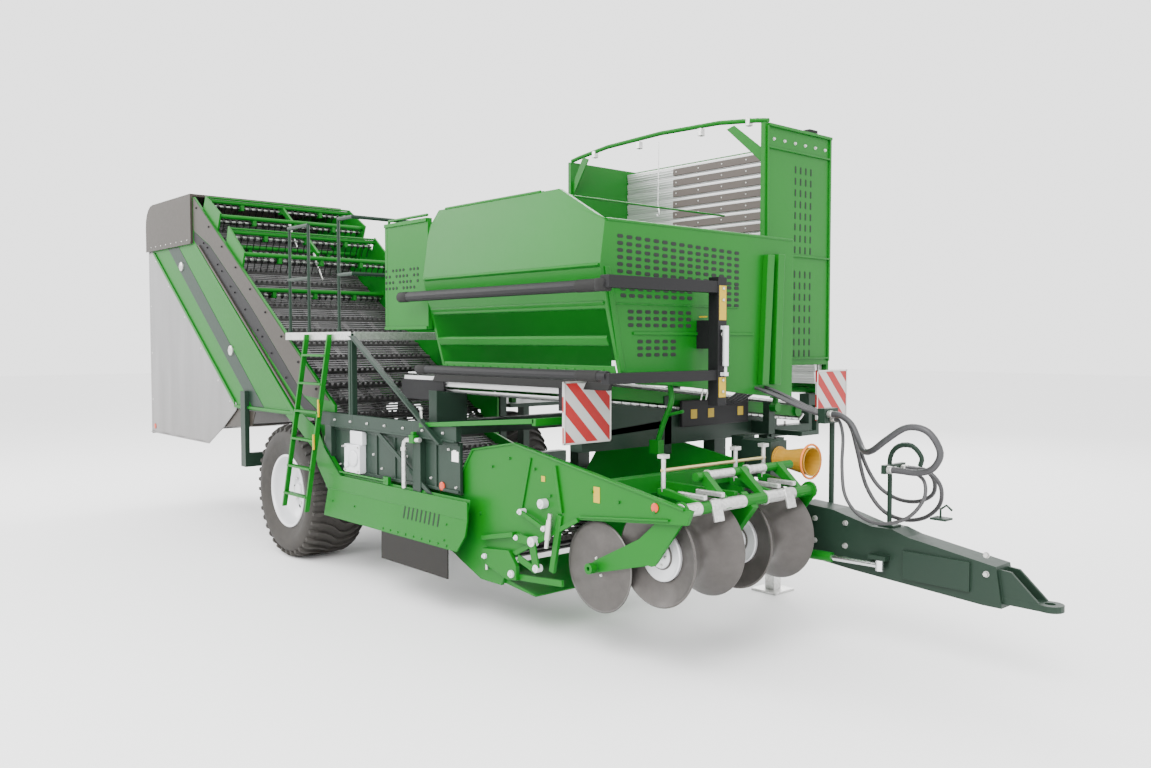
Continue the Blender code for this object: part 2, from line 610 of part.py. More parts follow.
def make_cylinder(name, base, eye, plane_at, plane, barrel_r, rod_r, barrel_length, eye_r, eye_half,
                  rod_start=0.12):
    """Barrel and rod between two pins; base and eye are in-plane points."""
    def place(point):
        if plane == "XY":
            return Vector((point[0], point[1], plane_at))
        if plane == "XZ":
            return Vector((point[0], plane_at, point[1]))
        return Vector((plane_at, point[0], point[1]))
    base, eye = Vector(base), Vector(eye)
    normal = NORMALS[plane]
    start, end = place(base), place(eye)
    turn = (end - start).to_track_quat("Z", "Y").to_matrix().to_4x4()
    frame = Matrix.Translation(start) @ turn
    bore = rod_r + 0.0005
    neck = 0.8 * eye_half
    barrel = turned(f"{name}_barrel", [
        (0, 0.01), (neck, 0.01), (neck, 0.07), (barrel_r, 0.07), (barrel_r, barrel_length),
        (bore, barrel_length), (bore, 0.11), (0, 0.11)][::-1], frame, CYLINDER_STEPS)
    barrel_eye = rod(f"{name}_base_eye", start - normal * eye_half, start + normal * eye_half, eye_r)
    combine(barrel, [barrel_eye])
    length = (end - start).length
    bar = turned(f"{name}_rod", [
        (0, length - 0.005), (rod_r, length - 0.005), (rod_r, rod_start), (0, rod_start)], frame, CYLINDER_STEPS)
    rod_eye = rod(f"{name}_rod_eye", end - normal * eye_half, end + normal * eye_half, eye_r)
    combine(bar, [rod_eye])
    paint("green", barrel)
    paint("steel", bar)
    hinge = pivot(f"{name}_pin", start)
    carry(hinge, barrel, bar)


# ---------------------------------------------------------------- digger
def digger_outline(forward):
    """Outline of a digger side plate; the right one runs on to the row units."""
    back = arc((DIG_X, DIG_Z), 0.08, 100, 260, 5)
    low = [(1.55, 0.44), (1.80, 0.345), (2.05, 0.345), (2.20, 0.60), (2.90, 0.95)]
    tip = [(3.88, 1.05), (3.92, 1.14)] if forward else [(3.20, 0.98), (3.20, 1.26)]
    high = [(2.21, 1.42), (1.69, 1.33), (1.45, 1.00), (0.90, 1.05)]
    return back + low + tip + high


def make_digger():
    right = prism("digger_side_right", digger_outline(True), "XZ", DIG_RIGHT - PLATE, DIG_RIGHT)
    left = prism("digger_side_left", digger_outline(False), "XZ", DIG_LEFT, DIG_LEFT + PLATE)
    boss = rod("lift_boss", (LIFT_EYE[0], DIG_LEFT + 0.01, LIFT_EYE[1]),
               (LIFT_EYE[0], LIFT_Y - LIFT_HALF - GAP, LIFT_EYE[1]), 0.03)
    combine(left, [boss])
    lower = (WEB_FRONT_X, WEB_FRONT_Z)
    upper = (DIG_X, DIG_Z)
    web = prism("digger_web", belt_outline(upper, lower, WEB_HALF), "XZ",
                DIG_RIGHT + WEB_SIDE, DIG_LEFT - WEB_SIDE)
    shafts = [rod(f"web_shaft_{x:.1f}", (x, DIG_RIGHT + GAP, z), (x, DIG_LEFT - GAP, z), 0.03)
              for x, z in (lower, upper)]
    combine(web, shafts)
    share = prism("share", [(1.87, 0.38), (2.42, 0.325), (2.42, 0.335), (1.87, 0.44)], "XZ",
                  DIG_RIGHT + GAP, DIG_LEFT - GAP)
    beam = block("digger_cross_beam", (BEAM_X0, DIG_RIGHT + GAP, 1.10),
                 (BEAM_X1, DIG_LEFT - GAP, 1.22))
    carrier = block("pipe_carrier", (BEAM_X1 - 0.01, ROW_Y - 0.11, 1.12),
                    (PIPE_X - PIPE_R - GAP, ROW_Y - 0.075, 1.18))
    combine(beam, [carrier])
    paint("green", right, left, share, beam)
    paint("rubber", web)
    carry(pivot("digger_axis", (DIG_X, ROW_Y, DIG_Z)), right, left, web, share, beam)


def arm_outline():
    """Side arm of the row frame: pipe, diabolo axle and coulter hub."""
    pipe = (PIPE_X, PIPE_Z)
    return (arc(pipe, 0.06, -60, 120, 7) + [(3.45, 0.90)]
            + arc((COULTER_X, COULTER_Z), 0.045, 110, 250, 5) + [(3.30, 0.68)]
            + arc((DIABOLO_X, DIABOLO_Z), 0.06, -110, -30, 4))


def make_row_frame():
    pipe = rod("row_frame", (PIPE_X, DIG_RIGHT + GAP, PIPE_Z), (PIPE_X, 0.03, PIPE_Z), PIPE_R)
    bits = []
    for sign in (-1, 1):
        near, far = sorted((ROW_Y + sign * ARM_IN, ROW_Y + sign * ARM_OUT))
        bits.append(prism(f"row_arm_{sign}", arm_outline(), "XZ", near, far))
        inner = ROW_Y + sign * (ROW_SPACING / 2 + DIABOLO_HALF + GAP)
        bits.append(rod(f"diabolo_stub_{sign}", (DIABOLO_X, inner, DIABOLO_Z),
                        (DIABOLO_X, ROW_Y + sign * (ARM_IN + 0.004), DIABOLO_Z), 0.03))
        bits.append(rod(f"coulter_stub_{sign}", (COULTER_X, ROW_Y + sign * (DISC_OUT + GAP), COULTER_Z),
                        (COULTER_X, ROW_Y + sign * (ARM_IN + 0.004), COULTER_Z), 0.035))
    middle = [(3.75, 1.17), (3.50, 0.84), (3.50, 0.76), (3.60, 0.76), (3.85, 1.08)]
    bits.append(prism("middle_arm", middle, "XZ", ROW_Y - 0.03, ROW_Y + 0.03))
    reach = ROW_SPACING / 2 - DIABOLO_HALF - GAP
    bits.append(rod("middle_axle", (DIABOLO_X, ROW_Y - reach, DIABOLO_Z),
                    (DIABOLO_X, ROW_Y + reach, DIABOLO_Z), 0.03))
    bits.append(rod("upper_pipe", (3.62, ROW_Y - 0.33, 1.28), (3.62, 0.02, 1.28), 0.03))
    for y in (ROW_Y - 0.28, ROW_Y + 0.10, ROW_Y + 0.50):
        bits.append(prism(f"pipe_bracket_{y:.2f}", [
            (3.60, 1.25), (3.84, 1.10), (3.82, 1.15), (3.64, 1.31)], "XZ", y, y + 0.05))
    combine(pipe, bits)
    paint("green", pipe)
    turn = Matrix.Rotation(-pi / 2, 4, "X")
    moving = [pipe]
    for side, sign in (("right", -1), ("left", 1)):
        y = ROW_Y + sign * ROW_SPACING / 2
        place = Matrix.Translation((DIABOLO_X, y, DIABOLO_Z)) @ turn
        upper = [(0, DIABOLO_HALF), (0.07, DIABOLO_HALF), (0.10, 0.17), (0.20, 0.17),
                 (DIABOLO_R - 0.012, DIABOLO_HALF), (DIABOLO_R, DIABOLO_HALF), (0.285, 0.17),
                 (0.245, 0.09), (0.23, 0)]
        lower = [(radius, -height) for radius, height in reversed(upper[:-1])]
        drum = turned(f"{side}_diabolo", upper + lower, place, 24)
        paint("grey_brown", drum)
        y = ROW_Y + sign * (DISC_IN + DISC_OUT) / 2
        half = (DISC_OUT - DISC_IN) / 2
        place = Matrix.Translation((COULTER_X, y, COULTER_Z)) @ turn
        disc = turned(f"{side}_coulter", [
            (0, half), (COULTER_R - 0.02, half), (COULTER_R, 0.0005), (COULTER_R, -0.0005),
            (COULTER_R - 0.02, -half), (0, -half)], place, 24)
        paint("grey_brown", disc)
        moving += [drum, disc]
    carry(pivot("row_tilt_axis", (PIPE_X, ROW_Y, PIPE_Z)), *moving)


# ---------------------------------------------------------------- rear elevator
def elevator_outline():
    return [(-0.40, 1.10), (-0.40, 1.56), (-3.80, 3.84), (-5.00, 3.84), (-5.25, HOOD_LOW),
            (-2.62, 1.42), (-0.70, 1.42), (-0.62, 1.10)]


def make_elevator():
    inner_right, inner_left = SIDE_Y + PLATE, ELEV_LEFT - PLATE
    right = prism("elevator_side_right", elevator_outline(), "XZ", SIDE_Y, inner_right)
    left = prism("elevator_side_left", elevator_outline(), "XZ", inner_left, ELEV_LEFT)
    web = prism("elevator_web", belt_outline(ELEV_HIGH, ELEV_LOW, ELEV_HALF), "XZ",
                inner_right + WEB_SIDE, inner_left - WEB_SIDE)
    shafts = [rod(f"elevator_shaft_{x:.1f}", (x, inner_right + GAP, z), (x, inner_left - GAP, z), 0.035)
              for x, z in (ELEV_LOW, ELEV_HIGH)]
    combine(web, shafts)
    paint("green", right, left)
    paint("rubber", web)


def hood_outline(shrink):
    rear, front = HOOD_REAR + shrink, HOOD_FRONT
    top, low = HOOD_TOP - shrink, HOOD_LOW
    corner = 0.26 - shrink
    centre = (rear + corner, top - corner)
    return [(front, low), (front, top)] + arc(centre, corner, 90, 180, 6) + [(rear, low)]


def make_hood():
    low_y, high_y = SIDE_Y - GAP, ELEV_LEFT + GAP
    hood = prism("rear_hood", hood_outline(0), "XZ", low_y - HOOD_WALL, high_y + HOOD_WALL)
    inner = [(u + (0.1 if u > -3.9 else 0), v - (0.1 if v < HOOD_LOW + 0.01 else 0))
             for u, v in hood_outline(HOOD_WALL)]
    hollow = prism("hood_hollow", inner, "XZ", low_y, high_y)
    cut(hood, [hollow])
    paint("grey_brown", hood)


def make_curtain():
    top = HOOD_LOW - GAP
    rear = HOOD_REAR + 0.02
    outline = [(rear, top), (rear, CURTAIN_LOW), (-3.44, CURTAIN_LOW - 0.03), (-2.76, 1.40),
               (-2.60, 1.47), (-5.05, top)]
    right0 = SIDE_Y - GAP - SHEET
    left1 = ELEV_LEFT + GAP + SHEET
    curtain = prism("rear_curtain", outline, "XZ", right0, right0 + SHEET)
    left = prism("curtain_left", outline, "XZ", left1 - SHEET, left1)
    back = block("curtain_back", (rear - 0.002, right0 + 0.001, CURTAIN_LOW + 0.001),
                 (rear + SHEET, left1 - 0.001, top - 0.001))
    combine(curtain, [back, left])
    paint("curtain", curtain)


def make_combs():
    """Two racks across the elevator that comb the haulm off the web."""
    right, left = SIDE_Y + PLATE + GAP, ELEV_LEFT - PLATE - GAP
    racks = {
        "haulm_comb_upper": ([(-3.72, 3.40), (-3.50, 3.82), (-3.08, 3.58), (-3.28, 3.15)],
                             [(-3.50, 3.77), (-3.16, 3.56), (-3.30, 3.24)]),
        "haulm_comb_lower": ([(-3.02, 2.92), (-2.86, 3.42), (-2.44, 3.10), (-2.62, 2.62)],
                             [(-2.86, 3.36), (-2.50, 3.09), (-2.66, 2.72)]),
    }
    for name, (outline, tubes) in racks.items():
        rack = prism(name, outline, "XZ", right, right + 0.02)
        bits = [prism(f"{name}_left", outline, "XZ", left - 0.02, left)]
        for number, (x, z) in enumerate(tubes):
            bits.append(rod(f"{name}_tube_{number}", (x, right + 0.01, z), (x, left - 0.01, z), 0.025, 10))
        combine(rack, bits)
        paint("green", rack)


# ---------------------------------------------------------------- platforms and ladder
def rail_frame(name, points, posts, low, middle, radius=0.018):
    """A railing: top and middle rails through the points, with posts down to low."""
    rails = []
    for tag, height in (("top", RAIL_TOP if low > 2 else low + 1.05), ("mid", middle)):
        route = [(x, y, height) for x, y in points]
        rails.append(tube(f"{name}_{tag}", route, radius, 1))
    top = RAIL_TOP if low > 2 else low + 1.05
    for number, (x, y) in enumerate(posts):
        rails.append(rod(f"{name}_post_{number}", (x, y, low - 0.005), (x, y, top), 0.85 * radius, 7))
    return rails


def make_platform():
    deck = block("platform", (PLATFORM_X0, OUTER_Y, PLATFORM_LOW),
                 (PLATFORM_X1, PLATFORM_LEFT, PLATFORM_TOP))
    x0, x1 = PLATFORM_X0 + 0.03, PLATFORM_X1 - 0.03
    y0 = OUTER_Y + 0.03
    front = rail_frame("platform_rail", [(x1 - 0.25, y0), (x1, y0), (x1, -0.45)],
                       [(x1 - 0.25, y0), (x1, -0.45), (x1, -0.95)], PLATFORM_TOP, 2.75)
    rear = rail_frame("platform_rail_rear", [(x0, y0), (x0 + 0.42, y0)],
                      [(x0 + 0.02, y0), (x0 + 0.42, y0)], PLATFORM_TOP, 2.75)
    combine(deck, front + rear)
    paint("dark_green", deck)


def make_ladder():
    tops = (-0.80, -0.35)
    feet = (-1.01, -0.55)
    top_z, foot_z = 2.215, 0.58
    rails = []
    for number, (top, foot) in enumerate(zip(tops, feet)):
        rails.append(rod("ladder" if number == 0 else "ladder_rail", (top, LADDER_Y, top_z),
                         (foot, LADDER_FOOT_Y, foot_z), 0.02, 8))
    steps = []
    for number in range(6):
        share = 0.12 + 0.16 * number
        ends = []
        for top, foot in zip(tops, feet):
            ends.append((top + (foot - top) * share, LADDER_Y + (LADDER_FOOT_Y - LADDER_Y) * share,
                         top_z + (foot_z - top_z) * share))
        steps.append(rod(f"ladder_step_{number}", *ends, 0.014, 8))
    combine(rails[0], rails[1:] + steps)
    paint("green", rails[0])
    carry(pivot("ladder_axis", (-0.58, LADDER_Y, top_z)), rails[0])


def make_picking_side():
    """Picking platform and sorting table over the left wheel."""
    x0, x1 = REAR_POST_X, POST_X[0] + POST_WIDTH
    y0, y1 = 0.62, 1.62
    top = 1.49
    deck = block("picking_platform", (x0, y0, 1.45), (x1, y1, top))
    rails = rail_frame("picking_rail", [(x0 + 0.03, 1.30), (x0 + 0.03, y1 - 0.03), (x1 - 0.03, y1 - 0.03)],
                       [(x0 + 0.03, 1.30), (-1.40, y1 - 0.03), (x1 - 0.03, y1 - 0.03)], top, 2.0)
    combine(deck, rails)
    table = block("picking_table", (-2.10, 0.64, 2.20), (-0.55, 1.06, 2.34))
    bits = [block("table_edge", (-2.12, 1.05, 2.18), (-0.53, 1.09, 2.44))]
    for x in (-2.05, -0.65):
        bits.append(block(f"table_leg_{x}", (x, 0.80, top + GAP), (x + 0.06, 0.86, 2.21)))
    combine(table, bits)
    paint("dark_green", deck)
    paint("green", table)


# ---------------------------------------------------------------- bunker
def make_bunker():
    inner = 0.70
    low_gap = GAP
    outline = [(-1.18, floor_top(-1.18) + low_gap), (inner, floor_top(inner) + low_gap),
               (inner, BUNKER_TOP), (-1.30, BUNKER_TOP), (CREASE_Y, CREASE_Z)]
    shell = prism("bunker", outline, "YZ", BUNKER_REAR, BUNKER_FRONT)
    side = prism("bunker_side_outline", [
        (BUNKER_REAR - 0.1, 1.4), (BUNKER_FRONT + 0.1, 1.4), (BUNKER_FRONT + 0.1, 2.90),
        (BUNKER_FRONT, 2.94), (2.45, BUNKER_TOP + 0.1), (1.25, BUNKER_TOP + 0.1),
        (BUNKER_REAR - 0.1, 2.95)], "XZ", -2, 2)
    combine(shell, [side], "INTERSECT")
    t = BUNKER_WALL
    hollow = prism("bunker_hollow", [
        (-1.18 + t, 1.30), (inner + 0.2, 1.30), (inner + 0.2, 3.5), (-1.262 + t, 3.5),
        (CREASE_Y + t + 0.005, CREASE_Z)], "YZ", BUNKER_REAR + t, BUNKER_FRONT - t)
    cut(shell, [hollow])
    floor = prism("bunker_floor", [
        (FLOOR_RIGHT, floor_top(FLOOR_RIGHT)), (FLOOR_LEFT, floor_top(FLOOR_LEFT)),
        (FLOOR_LEFT, floor_top(FLOOR_LEFT) - FLOOR_DEPTH),
        (FLOOR_RIGHT, floor_top(FLOOR_RIGHT) - FLOOR_DEPTH)], "YZ", FLOOR_X0, FLOOR_X1)
    cover = block("elevator_cover", (0.38, -1.33, 2.25), (BUNKER_REAR - GAP, -1.29, 3.15))
    back = block("cover_back", (0.381, -1.331, 2.251), (0.42, 0.60, 3.149))
    combine(cover, [back])
    paint("green", shell, cover)
    paint("steel", floor)


def make_side_guard():
    """Tubes along the bunker's right side, with the post they hang on in front."""
    y, post_y, x = OUTER_Y - 0.002, -0.40, 3.30
    guard = rod("side_guard", (0.84, y, 2.51), (x, y, 2.51), 0.04, 12)
    bits = [
        rod("guard_lower", (1.10, y, 1.93), (x, y, 1.93), 0.035, 12),
        block("guard_arm_upper", (x - 0.04, y - 0.03, 2.49), (x + 0.04, post_y + 0.03, 2.57)),
        block("guard_arm_lower", (x - 0.035, y - 0.025, 1.88), (x + 0.035, post_y + 0.03, 1.95)),
        block("guard_post_box", (x - 0.045, post_y - 0.045, 1.70), (x + 0.045, post_y + 0.045, 2.60)),
        block("guard_foot", (BUNKER_FRONT + GAP, post_y - 0.04, 2.10), (x, post_y + 0.04, 2.30)),
    ]
    combine(guard, bits)
    paint("dark_green", guard)


def make_boards():
    right = block("marker_board_right", (2.80, -1.41, 1.45), (2.80 + SHEET, -0.97, 1.88))
    left = block("marker_board_left", (3.03, 1.18, 1.49), (3.03 + SHEET, 1.62, 1.91))
    paint("board", right, left)


# ---------------------------------------------------------------- unloading elevator
def make_unloader():
    t = TROUGH_WALL
    skin_low = HINGE_Z
    skin_in = TROUGH_OUT - 0.03
    frame = block("unload_frame", (TROUGH_X0, skin_in, skin_low), (TROUGH_X1, TROUGH_OUT, TROUGH_TOP - 0.001))
    walls = [
        block("trough_front", (TROUGH_X1 - t, TROUGH_IN, TROUGH_LOW),
              (TROUGH_X1 - 0.001, skin_in + 0.01, TROUGH_TOP)),
        block("trough_rear", (TROUGH_X0 + 0.001, TROUGH_IN, TROUGH_LOW),
              (TROUGH_X0 + t, skin_in + 0.01, TROUGH_TOP)),
        rod("trough_hinge", (0.50, HINGE_Y, HINGE_Z), (2.78, HINGE_Y, HINGE_Z), HINGE_R),
        rod("ram_pin", (TROUGH_X1 - 0.01, *RAM_EYE), (RAM_X - 0.03 - GAP, *RAM_EYE), 0.03),
    ]
    combine(frame, walls)
    floor = block("unload_floor", (TROUGH_X0 + t + GAP, SLAT_Y0, 1.78),
                  (TROUGH_X1 - t - GAP, skin_in - GAP, 3.88))
    y = TROUGH_IN + 0.05
    seat = TROUGH_TOP + 0.02
    x0, x1 = TROUGH_X0 + t / 2, TROUGH_X1 - t / 2
    hoop = tube("unload_hoop", [
        (x1 + 0.015, y, seat), (x1 - 0.10, y, seat + 0.02), (x1 - 0.5, y, seat + 0.065),
        (1.64, y, seat + 0.085), (x0 + 0.5, y, seat + 0.065), (x0 + 0.10, y, seat + 0.02),
        (x0 - 0.015, y, seat)], 0.02)
    paint("green", frame, hoop)
    paint("steel", floor)
    carry(pivot("unload_axis", (1.64, HINGE_Y, HINGE_Z)), frame, floor, hoop)


# ---------------------------------------------------------------- power input and jack
def make_power_input():
    box = block("input_gearbox", (3.02 + GAP, 0.22, 1.12), (3.30, 0.42, 1.40))
    z = 1.27
    turn = Matrix.Translation((0, DRAW_Y, z)) @ Matrix.Rotation(pi / 2, 4, "Y")
    start = 3.30 + GAP
    shaft = turned("pto_shaft", [(0, 3.48), (0.022, 3.48), (0.022, 3.36), (0.03, 3.35),
                                 (0.03, start), (0, start)], turn, 16)
    guard = turned("pto_guard", [
        (0.065, start), (0.065, 3.40), (0.10, 3.60), (0.108, 3.60), (0.073, 3.40),
        (0.073, start + 0.012), (0.09, start + 0.012), (0.09, start)], turn, 20, closed=True)
    paint("dark_green", box)
    paint("steel", shaft)
    paint("yellow", guard)
    carry(pivot("pto_axis", (3.30, DRAW_Y, z)), shaft)


def make_jack():
    h = JACK_HALF
    tube_box = block("jack_tube", (JACK_X - h, JACK_Y - h, JACK_LOW), (JACK_X + h, JACK_Y + h, JACK_TOP))
    bore = h - 0.012
    hole = block("jack_bore", (JACK_X - bore, JACK_Y - bore, JACK_LOW - 0.1),
                 (JACK_X + bore, JACK_Y + bore, JACK_TOP - 0.02))
    cut(tube_box, [hole])
    inner = bore - 0.0005
    leg = block("jack_leg", (JACK_X - inner, JACK_Y - inner, 0.01),
                (JACK_X + inner, JACK_Y + inner, 0.90))
    foot = block("jack_foot", (JACK_X - 0.13, JACK_Y - 0.13, 0), (JACK_X + 0.13, JACK_Y + 0.13, 0.02))
    combine(leg, [foot])
    paint("dark_green", tube_box)
    paint("steel", leg)


def smooth_round_pieces():
    for item in PARTS.objects:
        if item.type == "MESH":
            item.data.shade_smooth()
            item.data.set_sharp_from_angle(angle=radians(35))


def build():
    for side, sign in (("right", -1), ("left", 1)):
        make_wheel(side, sign)
        make_knuckle(side, sign)
    make_axle()
    make_tie_rod()
    make_main_frame()
    make_side_panels()
    swinging = [make_drawbar(), make_hose_post(), make_hose_carrier(), *make_hoses()]
    carry(pivot("drawbar_axis", (DRAW_X, DRAW_Y, 0.8)), *swinging)
    make_cylinder("steer_cylinder", STEER_BASE, STEER_EYE, STEER_Z, "XY", 0.035, 0.02, 0.50, 0.03, STEER_HALF,
                  rod_start=0.18)
    make_cylinder("lift_cylinder", LIFT_BASE, LIFT_EYE, LIFT_Y, "XZ", 0.04, 0.022, 0.62, 0.032, LIFT_HALF)
    make_digger()
    make_row_frame()
    make_elevator()
    make_hood()
    make_curtain()
    make_combs()
    make_platform()
    make_ladder()
    make_picking_side()
    make_bunker()
    make_side_guard()
    make_boards()
    make_unloader()
    make_cylinder("unload_ram", RAM_BASE, RAM_EYE, RAM_X, "YZ", 0.048, 0.03, 1.10, 0.04, 0.03)
    make_power_input()
    make_jack()
    smooth_round_pieces()


build()
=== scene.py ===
from math import cos, pi, radians, sin

import bmesh
import bpy
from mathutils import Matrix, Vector


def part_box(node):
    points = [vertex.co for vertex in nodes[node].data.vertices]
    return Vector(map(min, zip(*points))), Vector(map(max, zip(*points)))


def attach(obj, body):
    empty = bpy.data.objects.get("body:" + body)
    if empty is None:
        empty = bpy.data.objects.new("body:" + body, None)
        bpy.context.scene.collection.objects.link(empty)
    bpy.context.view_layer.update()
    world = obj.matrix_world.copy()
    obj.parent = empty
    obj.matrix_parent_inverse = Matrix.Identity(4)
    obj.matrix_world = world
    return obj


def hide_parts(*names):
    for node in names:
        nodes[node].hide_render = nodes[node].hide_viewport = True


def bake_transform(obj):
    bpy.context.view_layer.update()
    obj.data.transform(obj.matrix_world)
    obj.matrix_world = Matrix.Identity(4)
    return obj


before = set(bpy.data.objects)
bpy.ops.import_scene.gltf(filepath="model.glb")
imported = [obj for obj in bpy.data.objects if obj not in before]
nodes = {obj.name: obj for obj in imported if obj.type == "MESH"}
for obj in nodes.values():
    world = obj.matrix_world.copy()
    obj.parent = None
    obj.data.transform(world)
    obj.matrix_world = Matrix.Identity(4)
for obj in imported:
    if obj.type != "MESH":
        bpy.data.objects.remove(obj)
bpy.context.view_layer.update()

# ---- Studio: a pale floor that runs up to a pale sky, and soft lights
# The floor is one big plane.  A large soft key stands at the right front, a weaker one behind,
# and the sky fills the rest.
FLOOR_REACH = 60
floor_mesh = bpy.data.meshes.new("floor")
floor_mesh.from_pydata([(-FLOOR_REACH, -FLOOR_REACH, 0), (FLOOR_REACH, -FLOOR_REACH, 0),
                        (FLOOR_REACH, FLOOR_REACH, 0), (-FLOOR_REACH, FLOOR_REACH, 0)], [],
                        [(0, 1, 2, 3)])
floor = bpy.data.objects.new("floor", floor_mesh)
bpy.context.scene.collection.objects.link(floor)
floor_paint = bpy.data.materials.new("pale_floor")
floor_paint.use_nodes = True
floor_shader = floor_paint.node_tree.nodes["Principled BSDF"]
floor_shader.inputs["Base Color"].default_value = (0.92, 0.92, 0.92, 1)
floor_shader.inputs["Roughness"].default_value = 0.85
floor_mesh.materials.append(floor_paint)

world = bpy.data.worlds.new("studio_sky")
bpy.context.scene.world = world
world.use_nodes = True
sky = world.node_tree.nodes["Background"]
sky.inputs["Color"].default_value = (1.0, 1.0, 1.0, 1)
sky.inputs["Strength"].default_value = 2.5


def soft_light(name, place, target, size, power):
    """A square soft box at one place, turned towards another."""
    light = bpy.data.lights.new(name, "AREA")
    light.shape = "SQUARE"
    light.size = size
    light.energy = power
    item = bpy.data.objects.new(name, light)
    bpy.context.scene.collection.objects.link(item)
    item.location = place
    aim = Vector(target) - Vector(place)
    item.rotation_euler = aim.to_track_quat("-Z", "Y").to_euler()


soft_light("key_light", (7.5, -10.0, 10.5), (0, 0, 1.5), 8.0, 2600)
soft_light("left_light", (-9.0, -8.0, 8.0), (-2, 0, 1.5), 6.0, 900)
soft_light("back_light", (-5.0, 10.0, 9.0), (0, 0, 2.0), 7.0, 1500)

# ---- Camera: at eye height off the right front corner
CAMERA_PLACE = (7.746, -5.689, 2.154)
CAMERA_AZIMUTH = radians(48.35)
CAMERA_PITCH = radians(2.533)
CAMERA_LENS, SENSOR_WIDTH = 30.4, 36.0
camera_data = bpy.data.cameras.new("camera")
camera_data.lens = CAMERA_LENS
camera_data.sensor_width = SENSOR_WIDTH
camera = bpy.data.objects.new("camera", camera_data)
bpy.context.scene.collection.objects.link(camera)
camera.location = CAMERA_PLACE
camera.rotation_euler = (pi / 2 - CAMERA_PITCH, 0, CAMERA_AZIMUTH)
bpy.context.scene.camera = camera


# ---- Free hydraulic hoses from the carrier to the coupler rack, and how solids are made here
# Four rubber pressure hoses hang between the steel carrier on the drawbar and the couplers on
# the hose post.  Each is one smooth round run with a crimped steel ferrule at both ends.
def smooth_route(points, count):
    """Points along a smooth curve through the given ones."""
    points = [Vector(point) for point in points]
    ends = [points[0] * 2 - points[1], *points, points[-1] * 2 - points[-2]]
    route = []
    for step in range(count):
        place = step / (count - 1) * (len(points) - 1)
        index = min(int(place), len(points) - 2)
        t = place - index
        a, b, c, d = ends[index:index + 4]
        route.append(0.5 * (2 * b + (c - a) * t + (2 * a - 5 * b + 4 * c - d) * t * t
                            + (3 * b - a - 3 * c + d) * t ** 3))
    return route


def node(tree, kind, inputs=None, **settings):
    """One node of a tree, with its settings and its unlinked inputs or links."""
    item = tree.nodes.new(kind)
    for name, value in settings.items():
        setattr(item, name, value)
    for name, value in (inputs or {}).items():
        if isinstance(value, bpy.types.NodeSocket):
            tree.links.new(value, item.inputs[name])
        else:
            item.inputs[name].default_value = value
    return item


def new_group(name, inputs, outputs, kind="ShaderNodeTree"):
    """An empty node group with named sockets; returns the tree, its inputs and its outputs."""
    tree = bpy.data.node_groups.new(name, kind)
    for label, socket, value in inputs:
        entry = tree.interface.new_socket(label, in_out="INPUT", socket_type=socket)
        if value is not None:
            entry.default_value = value
    for label, socket in outputs:
        tree.interface.new_socket(label, in_out="OUTPUT", socket_type=socket)
    return tree, tree.nodes.new("NodeGroupInput").outputs, tree.nodes.new("NodeGroupOutput")


def spot_on(tree):
    """Where a point lies on the machine, in metres."""
    return node(tree, "ShaderNodeTexCoord").outputs["Object"]


def noise(tree, place, scale, detail, roughness=0.5):
    """Soft random patches between 0 and 1."""
    return node(tree, "ShaderNodeTexNoise", {"Vector": place, "Scale": scale, "Detail": detail,
                                             "Roughness": roughness}).outputs["Fac"]


def maths(tree, operation, *values, clamp=False):
    """One step of arithmetic on numbers and sockets."""
    return node(tree, "ShaderNodeMath", dict(enumerate(values)), operation=operation,
                use_clamp=clamp).outputs[0]


def two_tone(tree, share, first, second):
    """A colour that goes from the first to the second as the share grows."""
    return node(tree, "ShaderNodeMix", {"Factor": share, 6: first, 7: second},
                data_type="RGBA").outputs[2]


DRY_SOIL = (0.33, 0.27, 0.20, 1)


